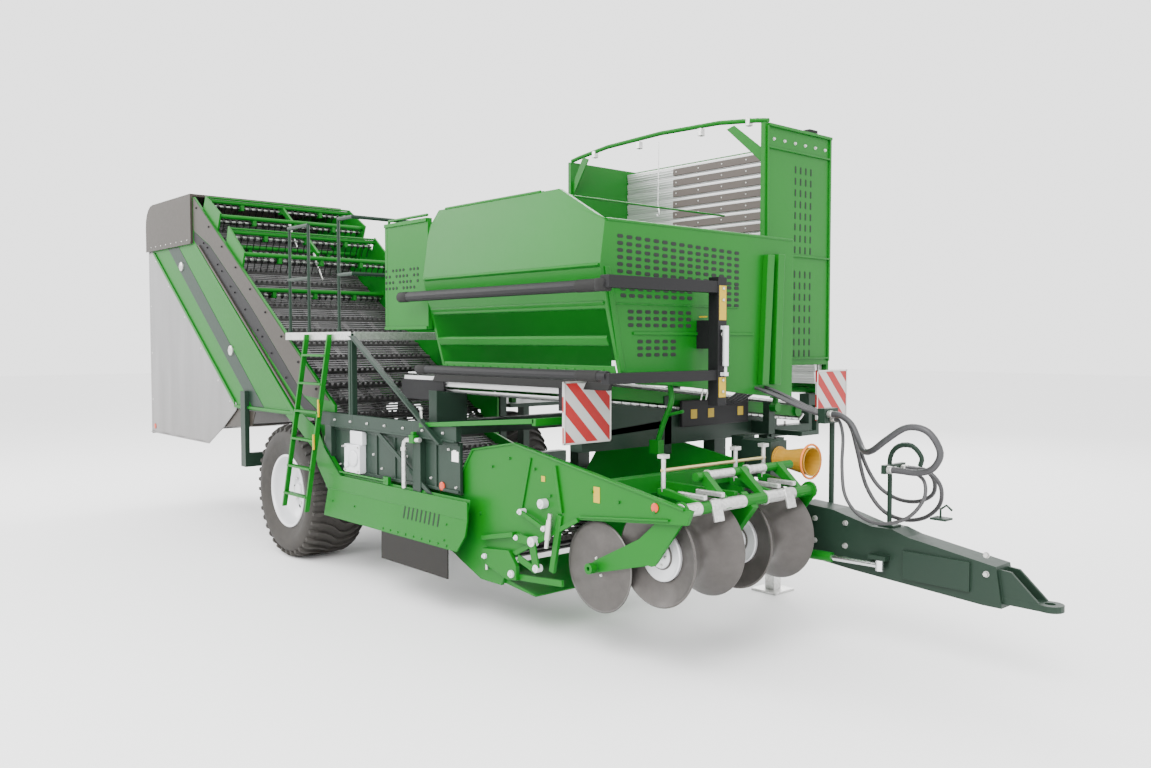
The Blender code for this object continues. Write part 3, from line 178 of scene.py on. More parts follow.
def make_surface_group():
    """Colour drift, dust low down, pale edges that are part wear and part painted highlight,
    and a fine grain, for every hard finish.
    """
    tree, given, out = new_group("weathered_surface_and_edge_highlight", [
        ("Colour", "NodeSocketColor", (0.5, 0.5, 0.5, 1)),
        ("Edge Colour", "NodeSocketColor", (0.8, 0.8, 0.8, 1)),
        ("Edge Wear And Highlight", "NodeSocketFloat", 0.3), ("Dust", "NodeSocketFloat", 0.15),
        ("Drift", "NodeSocketFloat", 0.12), ("Roughness", "NodeSocketFloat", 0.4),
        ("Grain Scale", "NodeSocketFloat", 180.0), ("Grain Depth", "NodeSocketFloat", 0.05),
        ("Edge Size", "NodeSocketFloat", 0.006)],
        [("Colour", "NodeSocketColor"), ("Roughness", "NodeSocketFloat"),
         ("Normal", "NodeSocketVector")])
    place = spot_on(tree)
    broad = noise(tree, place, 1.3, 3.0)
    fine = noise(tree, place, given["Grain Scale"], 2.0)
    speck = noise(tree, place, 22.0, 5.0, 0.7)
    # a slow light and dark drift over the whole panel
    drift = maths(tree, "MULTIPLY", maths(tree, "SUBTRACT", broad, 0.5), given["Drift"])
    drift = maths(tree, "ADD", drift, 1.0)
    bright = node(tree, "ShaderNodeHueSaturation",
                  {"Value": drift, "Color": given["Colour"]}).outputs[0]
    # edges found by comparing a rounded normal with the true one
    rounded = node(tree, "ShaderNodeBevel", {"Radius": given["Edge Size"]}, samples=4).outputs[0]
    true_normal = node(tree, "ShaderNodeNewGeometry").outputs["True Normal"]
    match = node(tree, "ShaderNodeVectorMath", {0: rounded, 1: true_normal},
                 operation="DOT_PRODUCT")
    edge = node(tree, "ShaderNodeMapRange", {"Value": match.outputs["Value"], "From Min": 0.985,
                                             "From Max": 0.80, "To Min": 0.0,
                                             "To Max": 1.0}).outputs[0]
    # pale edges: partly wear, partly a painted highlight along every edge, flecked by the speck
    # noise
    edge_wear_and_highlight = maths(tree, "MULTIPLY", maths(tree, "MULTIPLY", edge, speck), given["Edge Wear And Highlight"],
                 clamp=True)
    edged = two_tone(tree, edge_wear_and_highlight, bright, given["Edge Colour"])
    # dust gathers near the ground and in patches
    height = node(tree, "ShaderNodeSeparateXYZ", {"Vector": place}).outputs["Z"]
    low = node(tree, "ShaderNodeMapRange", {"Value": height, "From Min": 1.4, "From Max": 0.1,
                                            "To Min": 0.15, "To Max": 1.0}).outputs[0]
    dusty = maths(tree, "MULTIPLY", maths(tree, "MULTIPLY", low, speck), given["Dust"], clamp=True)
    dirty = two_tone(tree, dusty, edged, DRY_SOIL)
    rough = maths(tree, "MULTIPLY_ADD", speck, 0.14, given["Roughness"])
    rough = maths(tree, "ADD", dusty, rough, clamp=True)
    bump = node(tree, "ShaderNodeBump", {"Strength": given["Grain Depth"], "Distance": 0.002,
                                         "Height": fine, "Normal": rounded})
    tree.links.new(dirty, out.inputs["Colour"])
    tree.links.new(rough, out.inputs["Roughness"])
    tree.links.new(bump.outputs[0], out.inputs["Normal"])
    return tree


SURFACE = make_surface_group()


def finish(name, colour, roughness=0.4, metallic=0.0, edge=(0.8, 0.8, 0.8), wear=0.3, dust=0.15,
           drift=0.12, grain=180.0, depth=0.05, coat=0.0, edge_size=0.006):
    """A material on the shared weathered surface, with its own colour and numbers; its pale
    edges are part wear and part painted highlight.
    """
    material = bpy.data.materials.new(name)
    material.use_nodes = True
    tree = material.node_tree
    shader = tree.nodes["Principled BSDF"]
    group = node(tree, "ShaderNodeGroup", node_tree=SURFACE)
    for label, value in (("Edge Colour", (*edge, 1)), ("Edge Wear And Highlight", wear), ("Dust", dust),
                         ("Drift", drift), ("Roughness", roughness), ("Grain Scale", grain),
                         ("Grain Depth", depth), ("Edge Size", edge_size)):
        group.inputs[label].default_value = value
    if isinstance(colour, tuple):
        group.inputs["Colour"].default_value = (*colour, 1)
    else:
        tree.links.new(colour(tree), group.inputs["Colour"])
    for source, target in (("Colour", "Base Color"), ("Roughness", "Roughness"),
                           ("Normal", "Normal")):
        tree.links.new(group.outputs[source], shader.inputs[target])
    shader.inputs["Metallic"].default_value = metallic
    shader.inputs["Coat Weight"].default_value = coat
    shader.inputs["Coat Roughness"].default_value = 0.12
    return material


def coat_node(name, material):
    """Give a CAD node its real finish."""
    mesh = nodes[name].data
    mesh.materials.clear()
    mesh.materials.append(material)
    for face in mesh.polygons:
        face.material_index = 0


def slab(low, high):
    """A box between two corners, as points and faces."""
    (x0, y0, z0), (x1, y1, z1) = low, high
    points = [(x, y, z) for x in (x0, x1) for y in (y0, y1) for z in (z0, z1)]
    return points, [(0, 1, 3, 2), (4, 6, 7, 5), (0, 4, 5, 1), (2, 3, 7, 6), (0, 2, 6, 4),
                    (1, 5, 7, 3)]


def prism(outline, plane, low, high):
    """A flat outline in one plane, thick from low to high across it."""
    place = {"XY": lambda u, v, w: (u, v, w), "XZ": lambda u, v, w: (u, w, v),
             "YZ": lambda u, v, w: (w, u, v)}[plane]
    count = len(outline)
    points = [place(u, v, low) for u, v in outline] + [place(u, v, high) for u, v in outline]
    faces = [tuple(range(count))[::-1], tuple(range(count, 2 * count))]
    faces += [(i, (i + 1) % count, count + (i + 1) % count, count + i) for i in range(count)]
    return points, faces


def pipe(route, radius, sides=12, closed=False):
    """A round bar along a list of points; radius may be a list with one value a point."""
    route = [Vector(point) for point in route]
    radii = radius if isinstance(radius, (list, tuple)) else [radius] * len(route)
    last = len(route) - 1
    points, side_way = [], None
    for index, centre in enumerate(route):
        before = route[(index - 1) % len(route)] if closed or index else centre
        after = route[(index + 1) % len(route)] if closed or index < last else centre
        way = (after - before).normalized()
        if side_way is None:
            side_way = way.orthogonal().normalized()
        side_way = (side_way - way * side_way.dot(way)).normalized()
        up = way.cross(side_way)
        for step in range(sides):
            angle = 2 * pi * step / sides
            points.append(tuple(centre + (side_way * cos(angle) + up * sin(angle)) * radii[index]))
    faces = []
    for index in range(len(route) if closed else last):
        base, other = index * sides, ((index + 1) % len(route)) * sides
        for step in range(sides):
            turn = (step + 1) % sides
            faces.append((base + step, base + turn, other + turn, other + step))
    if not closed:
        faces += [tuple(range(sides))[::-1], tuple(range(last * sides, last * sides + sides))]
    return points, faces


def lathe(profile, centre, axis, steps=32, ring=False):
    """A profile of (radius, height) points turned about an axis; ring closes it on itself."""
    centre, axis = Vector(centre), Vector(axis).normalized()
    side_way = axis.orthogonal().normalized()
    up = axis.cross(side_way)
    points, rows = [], []
    for radius, height in profile:
        if radius < 1e-6:
            rows.append([len(points)] * steps)
            points.append(tuple(centre + axis * height))
            continue
        rows.append(list(range(len(points), len(points) + steps)))
        for step in range(steps):
            angle = 2 * pi * step / steps
            out = side_way * cos(angle) + up * sin(angle)
            points.append(tuple(centre + axis * height + out * radius))
    pairs = list(zip(rows, rows[1:])) + ([(rows[-1], rows[0])] if ring else [])
    faces = []
    for near, far in pairs:
        for step in range(steps):
            turn = (step + 1) % steps
            face = [near[step], near[turn], far[turn], far[step]]
            face = [corner for index, corner in enumerate(face) if corner not in face[:index]]
            if len(face) > 2:
                faces.append(tuple(face))
    return points, faces


def ball(centre, radius):
    """A sphere as a turned half circle."""
    half = [(radius * sin(pi * i / 8), -radius * cos(pi * i / 8)) for i in range(9)]
    return lathe(half, centre, (0, 0, 1), 16)


def plug(radius, height, centre, axis, steps):
    """A plain round disc or plug."""
    return lathe([(0, 0), (radius, 0), (radius, height), (0, height)], centre, axis, steps)


def boss(radius, rim, crown, height, centre, axis, steps):
    """A round boss or lens: a straight rim, then a slope in to a flat crown."""
    return lathe([(0, 0), (radius, 0), (radius, rim), (crown, height), (0, height)], centre, axis,
                 steps)


def collar(inner, outer, length, centre, axis, steps):
    """A round collar with a square section."""
    return lathe([(inner, 0), (outer, 0), (outer, length), (inner, length)], centre, axis, steps,
                 True)


def shown(name, mesh, smooth):
    """A linked object for one mesh, smooth but for edges sharper than an angle in degrees."""
    mesh.shade_smooth()
    mesh.set_sharp_from_angle(angle=radians(smooth))
    item = bpy.data.objects.new(name, mesh)
    bpy.context.scene.collection.objects.link(item)
    return item


def piece(name, body, material, solids, bevel=0.0, smooth=35, ride=True):
    """One finished object from a list of (points, faces) solids, riding on a body."""
    shape = bmesh.new()
    for points, faces in solids:
        made = [shape.verts.new(point) for point in points]
        for face in faces:
            shape.faces.new([made[corner] for corner in face])
    bmesh.ops.recalc_face_normals(shape, faces=shape.faces)
    mesh = bpy.data.meshes.new(name)
    shape.to_mesh(mesh)
    shape.free()
    mesh.materials.append(material)
    item = shown(name, mesh, smooth)
    if bevel:
        edge = item.modifiers.new("rounded_edges", "BEVEL")
        edge.width = bevel
        edge.segments = 2
        edge.limit_method = "ANGLE"
        edge.angle_limit = radians(40)
        edge.harden_normals = False
    if ride:
        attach(item, body)
    return item


def hose_colour(tree):
    """Black rubber with a faint cross-wound print of its braid."""
    wind = node(tree, "ShaderNodeTexWave", {"Vector": spot_on(tree), "Scale": 60.0,
                                            "Distortion": 1.5},
                bands_direction="DIAGONAL")
    return two_tone(tree, wind.outputs["Fac"], (0.018, 0.018, 0.02, 1), (0.05, 0.05, 0.055, 1))


HOSE_RUBBER = finish("hose_rubber_black", hose_colour, roughness=0.38, wear=0.0, dust=0.1,
                     depth=0.2)
BRIGHT_STEEL = finish("zinc_steel", (0.58, 0.58, 0.56), roughness=0.28, metallic=0.9,
                      edge=(0.8, 0.8, 0.8), wear=0.4, dust=0.08, grain=60.0, depth=0.12)
HOSE_START, HOSE_END = 3.6703, 4.2803
HOSES = {
    "hose_bundle": (0.022, [
        (HOSE_START, 0.41, 1.62), (3.76, 0.41, 1.62), (3.87, 0.40, 1.56), (3.96, 0.36, 1.45),
        (4.05, 0.28, 1.39), (4.17, 0.19, 1.41), (4.31, 0.14, 1.50), (4.46, 0.13, 1.59),
        (4.60, 0.14, 1.57), (4.67, 0.17, 1.44), (4.61, 0.19, 1.33), (4.50, 0.20, 1.29),
        (4.38, 0.20, 1.29), (HOSE_END, 0.20, 1.29)]),
    "hose_low": (0.014, [
        (HOSE_START, 0.46, 1.62), (3.74, 0.46, 1.62), (3.83, 0.46, 1.53), (3.88, 0.47, 1.36),
        (3.94, 0.49, 1.12), (4.06, 0.50, 0.96), (4.23, 0.49, 0.91), (4.41, 0.46, 0.95),
        (4.54, 0.42, 1.06), (4.56, 0.39, 1.19), (4.48, 0.376, 1.28), (4.38, 0.375, 1.29),
        (HOSE_END, 0.375, 1.29)]),
    "hose_right": (0.014, [
        (HOSE_START, 0.51, 1.60), (3.74, 0.51, 1.60), (3.83, 0.52, 1.50), (3.89, 0.54, 1.29),
        (3.99, 0.56, 1.12), (4.14, 0.56, 1.04), (4.31, 0.54, 1.04), (4.45, 0.49, 1.11),
        (4.49, 0.44, 1.21), (4.44, 0.42, 1.28), (4.36, 0.41, 1.29), (HOSE_END, 0.41, 1.29)]),
    "hose_left": (0.012, [
        (HOSE_START, 0.44, 1.58), (3.74, 0.44, 1.58), (3.83, 0.36, 1.47), (3.89, 0.26, 1.27),
        (3.97, 0.18, 1.08), (4.11, 0.145, 0.96), (4.28, 0.14, 0.93), (4.45, 0.17, 0.99),
        (4.54, 0.21, 1.12), (4.52, 0.25, 1.23), (4.44, 0.26, 1.28), (4.36, 0.26, 1.29),
        (HOSE_END, 0.26, 1.29)]),
}
ferrules = []
for name, (radius, points) in HOSES.items():
    route = smooth_route(points, 5 * len(points) - 4)
    for index in (1, 2, 3, 4):
        route[index].yz = route[0].yz
        route[-1 - index].yz = route[-1].yz
    curve = bpy.data.curves.new(f"{name}_run", "CURVE")
    curve.dimensions = "3D"
    curve.bevel_depth = radius
    curve.bevel_resolution = 4
    curve.use_fill_caps = True
    spline = curve.splines.new("POLY")
    spline.points.add(len(route) - 1)
    for point, spot in zip(spline.points, route):
        point.co = (*spot, 1)
    curve.materials.append(HOSE_RUBBER)
    hose = bpy.data.objects.new(f"{name}_run", curve)
    bpy.context.scene.collection.objects.link(hose)
    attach(hose, "drawbar")
    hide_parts(name)
    length = sum((b - a).length for a, b in zip(route, route[1:]))
    start, end = route[0], route[-1]
    for spot in (start, end):
        steps = [(radius + 0.001, 0.002), (radius + 0.004, 0.004), (radius + 0.004, 0.034),
                 (radius + 0.001, 0.038)]
        ferrules.append(lathe(steps, spot, (1, 0, 0), 18))
piece("hose_ferrules", "drawbar", BRIGHT_STEEL, ferrules)


# ---- Paints and bare metals of the welded and bolted steelwork
# The panels are powder coated bright green, the frame a dark bottle green, and the hood and
# covers a warm grey.  Every coat is glossy sheet over a faint orange peel.
# The lighter edge colours below paint a highlight along every edge as well as wear.
GREEN = finish("leaf_green_gloss", (0.0, 0.115, 0.004), roughness=0.36, metallic=0.0,
               edge=(0.01, 0.24, 0.03), wear=0.25, dust=0.004, drift=0.22, grain=240.0, depth=0.04,
               coat=0.03)
DARK_GREEN = finish("bottle_green_satin", (0.009, 0.024, 0.015), roughness=0.36, metallic=0.0,
                    edge=(0.04, 0.09, 0.055), wear=0.4, dust=0.02, drift=0.2, coat=0.03)
GREY_BROWN = finish("warm_grey_coat", (0.040, 0.034, 0.028), roughness=0.34, metallic=0.15,
                    edge=(0.10, 0.09, 0.08), wear=0.35, dust=0.02, drift=0.2, coat=0.05)
BLACK_STEEL = finish("black_steel", (0.008, 0.008, 0.009), roughness=0.42, metallic=0.2,
                     edge=(0.10, 0.10, 0.10), wear=0.3, dust=0.02)
BLACK_RUBBER = finish("black_rubber", (0.009, 0.009, 0.009), roughness=0.62, metallic=0.0,
                      edge=(0.05, 0.05, 0.05), wear=0.3, dust=0.05, grain=90.0, depth=0.3)
# Painted shade: a near black that stands for the shade inside holes that are not cut.
HOLE_SHADE = finish("shade_behind_holes", (0.006, 0.010, 0.007), roughness=0.8, wear=0.0, dust=0.0)
YELLOW_LABEL = finish("yellow_label", (0.42, 0.28, 0.0), roughness=0.45, wear=0.0, dust=0.0,
                      edge_size=0.001)
WHITE_LABEL = finish("white_label", (0.8, 0.8, 0.78), roughness=0.4, wear=0.05, dust=0.05,
                     edge_size=0.001)
ORANGE_LENS = finish("orange_reflector", (0.50, 0.035, 0.0), roughness=0.3, wear=0.0, dust=0.0,
                     coat=0.3)
SILVER = finish("silver_white_coat", (0.66, 0.67, 0.69), roughness=0.3, metallic=0.25,
                edge=(0.3, 0.3, 0.3), wear=0.15, dust=0.12, coat=0.4)
CHROME = finish("polished_rod", (0.75, 0.76, 0.78), roughness=0.1, metallic=1.0,
                edge=(0.9, 0.9, 0.9), wear=0.1, dust=0.02, grain=400.0)
BRASS = finish("yellow_zinc_rod", (0.62, 0.52, 0.25), roughness=0.3, metallic=0.85,
               edge=(0.8, 0.75, 0.5), wear=0.2, dust=0.05)
for paint in (GREEN, DARK_GREEN, GREY_BROWN, BLACK_STEEL, BLACK_RUBBER):
    paint.node_tree.nodes["Principled BSDF"].inputs["Specular IOR Level"].default_value = 0.22


def brushed_colour(tree):
    """Galvanised sheet: pale crystals of slightly different greys."""
    crystal = node(tree, "ShaderNodeTexVoronoi", {"Vector": spot_on(tree), "Scale": 70.0})
    return two_tone(tree, crystal.outputs["Color"], (0.48, 0.48, 0.47, 1), (0.72, 0.72, 0.71, 1))


GALVANISED = finish("galvanised_steel", brushed_colour, roughness=0.3, metallic=0.8,
                    edge=(0.85, 0.85, 0.85), wear=0.3, dust=0.08, grain=80.0, depth=0.1)


def worn_disc_colour(tree):
    """Soil-polished steel: brown grey with turned streaks."""
    streak = noise(tree, spot_on(tree), 9.0, 8.0, 0.65)
    return two_tone(tree, streak, (0.035, 0.031, 0.029, 1), (0.095, 0.087, 0.082, 1))


WORN_STEEL = finish("soil_polished_steel", worn_disc_colour, roughness=0.34, metallic=0.45,
                    edge=(0.45, 0.44, 0.42), wear=0.5, dust=0.02, grain=130.0, depth=0.12)

for name in ("right_guard", "digger_side_right", "digger_side_left", "digger_cross_beam", "share",
             "elevator_side_right", "elevator_side_left", "haulm_comb_upper", "haulm_comb_lower",
             "picking_table", "bunker", "elevator_cover", "unload_frame", "unload_hoop",
             "row_frame", "steer_cylinder_barrel", "lift_cylinder_barrel", "unload_ram_barrel",
             "ladder"):
    coat_node(name, GREEN)
for name in ("right_knuckle", "left_knuckle", "axle_beam", "main_frame", "right_side_wall",
             "drawbar", "hose_post", "hose_carrier", "platform", "picking_platform", "jack_tube",
             "input_gearbox"):
    coat_node(name, DARK_GREEN)
coat_node("rear_hood", GREY_BROWN)
for name in ("steer_cylinder_rod", "lift_cylinder_rod", "unload_ram_rod"):
    coat_node(name, CHROME)
for name in ("tie_rod", "pto_shaft", "jack_leg"):
    coat_node(name, GALVANISED)
coat_node("side_guard", BLACK_STEEL)
coat_node("rubber_flap", BLACK_RUBBER)


# ---- Hexagon bolts and rivets, set by the hundred on every joint of the steelwork
# Zinc plated bolts with a washer, and flat round rivets.  One small shape each, placed by a
# geometry tree on listed spots that say which way they face.
def repeat_tree(name, build_shape, sizes):
    """A geometry tree that puts one shape on every point, turned to the point's facing."""
    inputs = [("Geometry", "NodeSocketGeometry", None)]
    inputs += [(label, "NodeSocketFloat", value) for label, value in sizes]
    inputs.append(("Material", "NodeSocketMaterial", None))
    tree, given, out = new_group(name, inputs, [("Geometry", "NodeSocketGeometry")],
                                 "GeometryNodeTree")
    shape = build_shape(tree, given)
    facing = node(tree, "GeometryNodeInputNamedAttribute", {"Name": "facing"},
                  data_type="FLOAT_VECTOR")
    along = node(tree, "GeometryNodeInputNamedAttribute", {"Name": "along"},
                 data_type="FLOAT_VECTOR")
    turn = node(tree, "FunctionNodeAlignRotationToVector", {"Vector": facing.outputs[0]}, axis="Z")
    turn = node(tree, "FunctionNodeAlignRotationToVector",
                {"Rotation": turn.outputs[0], "Vector": along.outputs[0]}, axis="X", pivot_axis="Z")
    placed = node(tree, "GeometryNodeInstanceOnPoints",
                  {"Points": given["Geometry"], "Instance": shape,
                                                         "Rotation": turn.outputs[0]})
    real = node(tree, "GeometryNodeRealizeInstances", {"Geometry": placed.outputs[0]})
    coated = node(tree, "GeometryNodeSetMaterial",
                  {"Geometry": real.outputs[0], "Material": given["Material"]})
    tree.links.new(coated.outputs[0], out.inputs["Geometry"])
    return tree


def run_tree(holder, tree, name, material, values):
    """Run a geometry tree on an object, keep the plain mesh it makes and drop the object."""
    modifier = holder.modifiers.new("repeat", "NODES")
    modifier.node_group = tree
    values = {"Material": material, **values}
    for entry in tree.interface.items_tree:
        if entry.item_type == "SOCKET" and entry.in_out == "INPUT" and entry.name in values:
            modifier[entry.identifier] = values[entry.name]
    bpy.context.view_layer.update()
    evaluated = holder.evaluated_get(bpy.context.evaluated_depsgraph_get())
    mesh = bpy.data.meshes.new_from_object(evaluated)
    bpy.data.objects.remove(holder, do_unlink=True)
    if not mesh.materials:
        mesh.materials.append(material)
    mesh.name = name
    return mesh


def repeat_on(tree, name, body, material, spots, values=None):
    """Run a repeat tree over (place, facing, along) spots and keep the plain mesh."""
    base = bpy.data.meshes.new(name)
    base.from_pydata([spot[0] for spot in spots], [], [])
    for label, index in (("facing", 1), ("along", 2)):
        attribute = base.attributes.new(label, "FLOAT_VECTOR", "POINT")
        for entry, spot in zip(attribute.data, spots):
            entry.vector = spot[index] if len(spot) > index else (1, 0, 0)
    holder = bpy.data.objects.new(f"{name}_spots", base)
    bpy.context.scene.collection.objects.link(holder)
    item = shown(name, run_tree(holder, tree, name, material, values or {}), 30)
    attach(item, body)


def lifted(tree, geometry, height):
    """Geometry moved up its own Z by a height."""
    move = node(tree, "ShaderNodeCombineXYZ", {"Z": height})
    return node(tree, "GeometryNodeTransform",
                {"Geometry": geometry, "Translation": move.outputs[0]}).outputs[0]


def bolt_shape(tree, given):
    """A washer with a hexagon head on it."""
    washer = node(tree, "GeometryNodeMeshCylinder",
                  {"Vertices": 12, "Radius": given["Washer Radius"],
                                                     "Depth": given["Washer Depth"]})
    head = node(tree, "GeometryNodeMeshCylinder", {"Vertices": 6, "Radius": given["Head Radius"],
                                                   "Depth": given["Head Depth"]})
    raised = lifted(tree, head.outputs["Mesh"], given["Head Depth"])
    both = node(tree, "GeometryNodeJoinGeometry")
    tree.links.new(washer.outputs["Mesh"], both.inputs[0])
    tree.links.new(raised, both.inputs[0])
    return both.outputs[0]


def rivet_shape(tree, given):
    """A low round head."""
    head = node(tree, "GeometryNodeMeshUVSphere",
                {"Segments": 10, "Rings": 6, "Radius": given["Radius"]})
    flat = node(tree, "GeometryNodeTransform",
                {"Geometry": head.outputs["Mesh"], "Scale": (1, 1, 0.5)})
    return flat.outputs[0]


BOLTS = repeat_tree("hexagon_bolts", bolt_shape, [("Washer Radius", 0.014), ("Washer Depth", 0.004),
                                                  ("Head Radius", 0.0105), ("Head Depth", 0.008)])
RIVETS = repeat_tree("round_rivets", rivet_shape, [("Radius", 0.009)])
RIGHT, LEFT, FORWARD, REAR, UP = (0, -1, 0), (0, 1, 0), (1, 0, 0), (-1, 0, 0), (0, 0, 1)


def row(start, end, count, facing):
    """Evenly spaced spots from one place to another."""
    start, end = Vector(start), Vector(end)
    return [(tuple(start.lerp(end, i / (count - 1))), facing, FORWARD) for i in range(count)]


# ---- Flotation wheels: low, wide tyres on silver dished rims
# Black rubber carcass with 38 long waved bars on the tread, rounded shoulders and a ribbed
# side wall.  The rim is rolled and welded steel with a dished centre and eight wheel nuts.
AXLE_X, AXLE_Z, WHEEL_Y = -1.35, 0.6648, 1.18
TREAD_RADIUS, LUG_HEIGHT, TYRE_HALF, LUG_COUNT = 0.640, 0.023, 0.298, 38


def tyre_colour(tree):
    """Dark rubber, a little browner where soil has rubbed it."""
    rubbed = noise(tree, spot_on(tree), 14.0, 6.0)
    return two_tone(tree, rubbed, (0.010, 0.0095, 0.009, 1), (0.030, 0.027, 0.024, 1))


TYRE = finish("tyre_rubber", tyre_colour, roughness=0.72, metallic=0.0, edge=(0.06, 0.055, 0.05),
              wear=0.4, dust=0.06, grain=160.0, depth=0.35)


def tread_bar(centre, sign):
    """One waved bar over the tread, as a strip of points with its own thickness."""
    points, faces = [], []
    steps = 18
    for step in range(steps + 1):
        share = step / steps
        across = (2 * share - 1) * (TYRE_HALF - 0.018)
        wave = 0.060 * sin(share * 2.0 * pi) + 0.10 * abs(2 * share - 1) ** 1.5
        shoulder = max(0.0, abs(across) - 0.20) / 0.08
        top = TREAD_RADIUS + LUG_HEIGHT - 0.034 * min(shoulder, 1.0) ** 2
        foot = top - LUG_HEIGHT - 0.012
        half = 0.0135 + 0.005 * sin(share * 6 * pi)
        for radius, angle_shift in ((foot, -half - 0.006), (top, -half), (top, half),
                                    (foot, half + 0.006)):
            angle = sign * (wave / TREAD_RADIUS) + angle_shift / TREAD_RADIUS
            points.append((centre[0] + radius * sin(angle), centre[1] + across,
                           centre[2] + radius * cos(angle)))
    for step in range(steps):
        a, b = 4 * step, 4 * step + 4
        for edge in range(4):
            turn = (edge + 1) % 4
            faces.append((a + edge, a + turn, b + turn, b + edge))
    faces += [(3, 2, 1, 0), tuple(4 * steps + i for i in range(4))]
    return points, faces


def ring_tree():
    """A geometry tree that repeats the given mesh round the Y axis through a centre."""
    tree, given, out = new_group("round_the_wheel", [
        ("Geometry", "NodeSocketGeometry", None), ("Count", "NodeSocketInt", 12),
        ("Centre", "NodeSocketVector", None), ("Material", "NodeSocketMaterial", None)],
        [("Geometry", "NodeSocketGeometry")], "GeometryNodeTree")
    spots = node(tree, "GeometryNodeMeshLine",
                 {"Count": given["Count"], "Start Location": given["Centre"],
                                                "Offset": (0, 0, 0)})
    index = node(tree, "GeometryNodeInputIndex").outputs[0]
    angle = maths(tree, "MULTIPLY", maths(tree, "DIVIDE", index, given["Count"]), 2 * pi)
    turn = node(tree, "ShaderNodeCombineXYZ", {"Y": angle})
    placed = node(tree, "GeometryNodeInstanceOnPoints", {"Points": spots.outputs[0],
                                                         "Instance": given["Geometry"],
                                                         "Rotation": turn.outputs[0]})
    real = node(tree, "GeometryNodeRealizeInstances", {"Geometry": placed.outputs[0]})
    coated = node(tree, "GeometryNodeSetMaterial",
                  {"Geometry": real.outputs[0], "Material": given["Material"]})
    tree.links.new(coated.outputs[0], out.inputs["Geometry"])
    return tree


AROUND = ring_tree()


def ring_of(name, body, material, solids, centre, count):
    """Solids made about the origin, repeated round the Y axis at a centre, as one plain mesh."""
    item = piece(f"{name}_one", body, material, solids, ride=False)
    mesh = run_tree(item, AROUND, name, material, {"Count": count, "Centre": centre})
    ring = shown(name, mesh, 35)
    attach(ring, body)


for side, sign in (("right", -1), ("left", 1)):
    hub = (AXLE_X, sign * WHEEL_Y, AXLE_Z)
    outward = (0, sign, 0)
    body = f"{side}_wheel"
    shoulder = [(TREAD_RADIUS, 0.0), (TREAD_RADIUS - 0.001, 0.10), (TREAD_RADIUS - 0.006, 0.19),
                (TREAD_RADIUS - 0.022, 0.245), (TREAD_RADIUS - 0.055, 0.280), (0.545, 0.295),
                (0.505, 0.297), (0.500, 0.2955), (0.485, 0.2955), (0.480, 0.293), (0.440, 0.284),
                (0.400, 0.268), (0.372, 0.254), (0.3455, 0.2485), (0.3455, 0.20)]
    half_back = [(radius, -height) for radius, height in reversed(shoulder[1:])]
    carcass = lathe(half_back + shoulder, hub, outward, 112, ring=True)
    tyre = piece(f"{side}_tyre_carcass", body, TYRE, [carcass])
    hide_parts(f"{side}_tyre")
    ring_of(f"{side}_tread_bars", body, TYRE, [tread_bar((0, 0, 0), sign)], hub, LUG_COUNT)
    dish = [(0, 0.155), (0.050, 0.155), (0.062, 0.150), (0.066, 0.120), (0.088, 0.115),
            (0.115, 0.098), (0.165, 0.094), (0.185, 0.078), (0.235, 0.074), (0.262, 0.090),
            (0.300, 0.118), (0.322, 0.150), (0.328, 0.215), (0.331, 0.250), (0.340, 0.262),
            (0.356, 0.2645), (0.3625, 0.2600), (0.3628, 0.2505), (0.345, 0.2490), (0.3435, 0.22),
            (0.3435, -0.22), (0.345, -0.2490), (0.3628, -0.2505), (0.3625, -0.2600),
            (0.356, -0.2645), (0.340, -0.262), (0.331, -0.250), (0.328, -0.20), (0.322, 0.05),
            (0.290, 0.085), (0.235, 0.062), (0.11, 0.060), (0.108, -0.079), (0, -0.079)]
    rim = piece(f"{side}_rolled_rim", body, SILVER, [lathe(dish, hub, outward, 96)])
    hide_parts(f"{side}_rim")
    nut = boss(0.017, 0.022, 0.012, 0.027, (0.138, sign * 0.095, 0), outward, 6)
    ring_of(f"{side}_wheel_nuts", body, BRIGHT_STEEL, [nut], hub, 8)
    valve = pipe([(0.285, sign * 0.105, 0), (0.275, sign * 0.150, 0)], 0.006, 8)
    # painted shade: thin dark discs stand for the rim's holes
    hole = plug(0.022, 0.003, (0.212, sign * 0.0735, 0), outward, 16)
    ring_of(f"{side}_rim_holes", body, HOLE_SHADE, [hole], hub, 6)
    ring_of(f"{side}_tyre_valve", body, BLACK_RUBBER, [valve], hub, 1)

# ---- Endless webs of the digger and the rear elevator
# Spring steel rods across rubber belts, with a row of rubber fingers on every sixth rod that
# carries the crop up.  Both replace the plain slabs of the working model.
WEB_RUBBER = finish("web_rubber", (0.018, 0.017, 0.018), roughness=0.48, metallic=0.0,
                    edge=(0.12, 0.12, 0.13), wear=0.5, dust=0.12, grain=120.0, depth=0.2)
WEB_STEEL = finish("web_rod_steel", (0.20, 0.195, 0.20), roughness=0.32, metallic=0.8,
                   edge=(0.5, 0.5, 0.5), wear=0.3, dust=0.1)


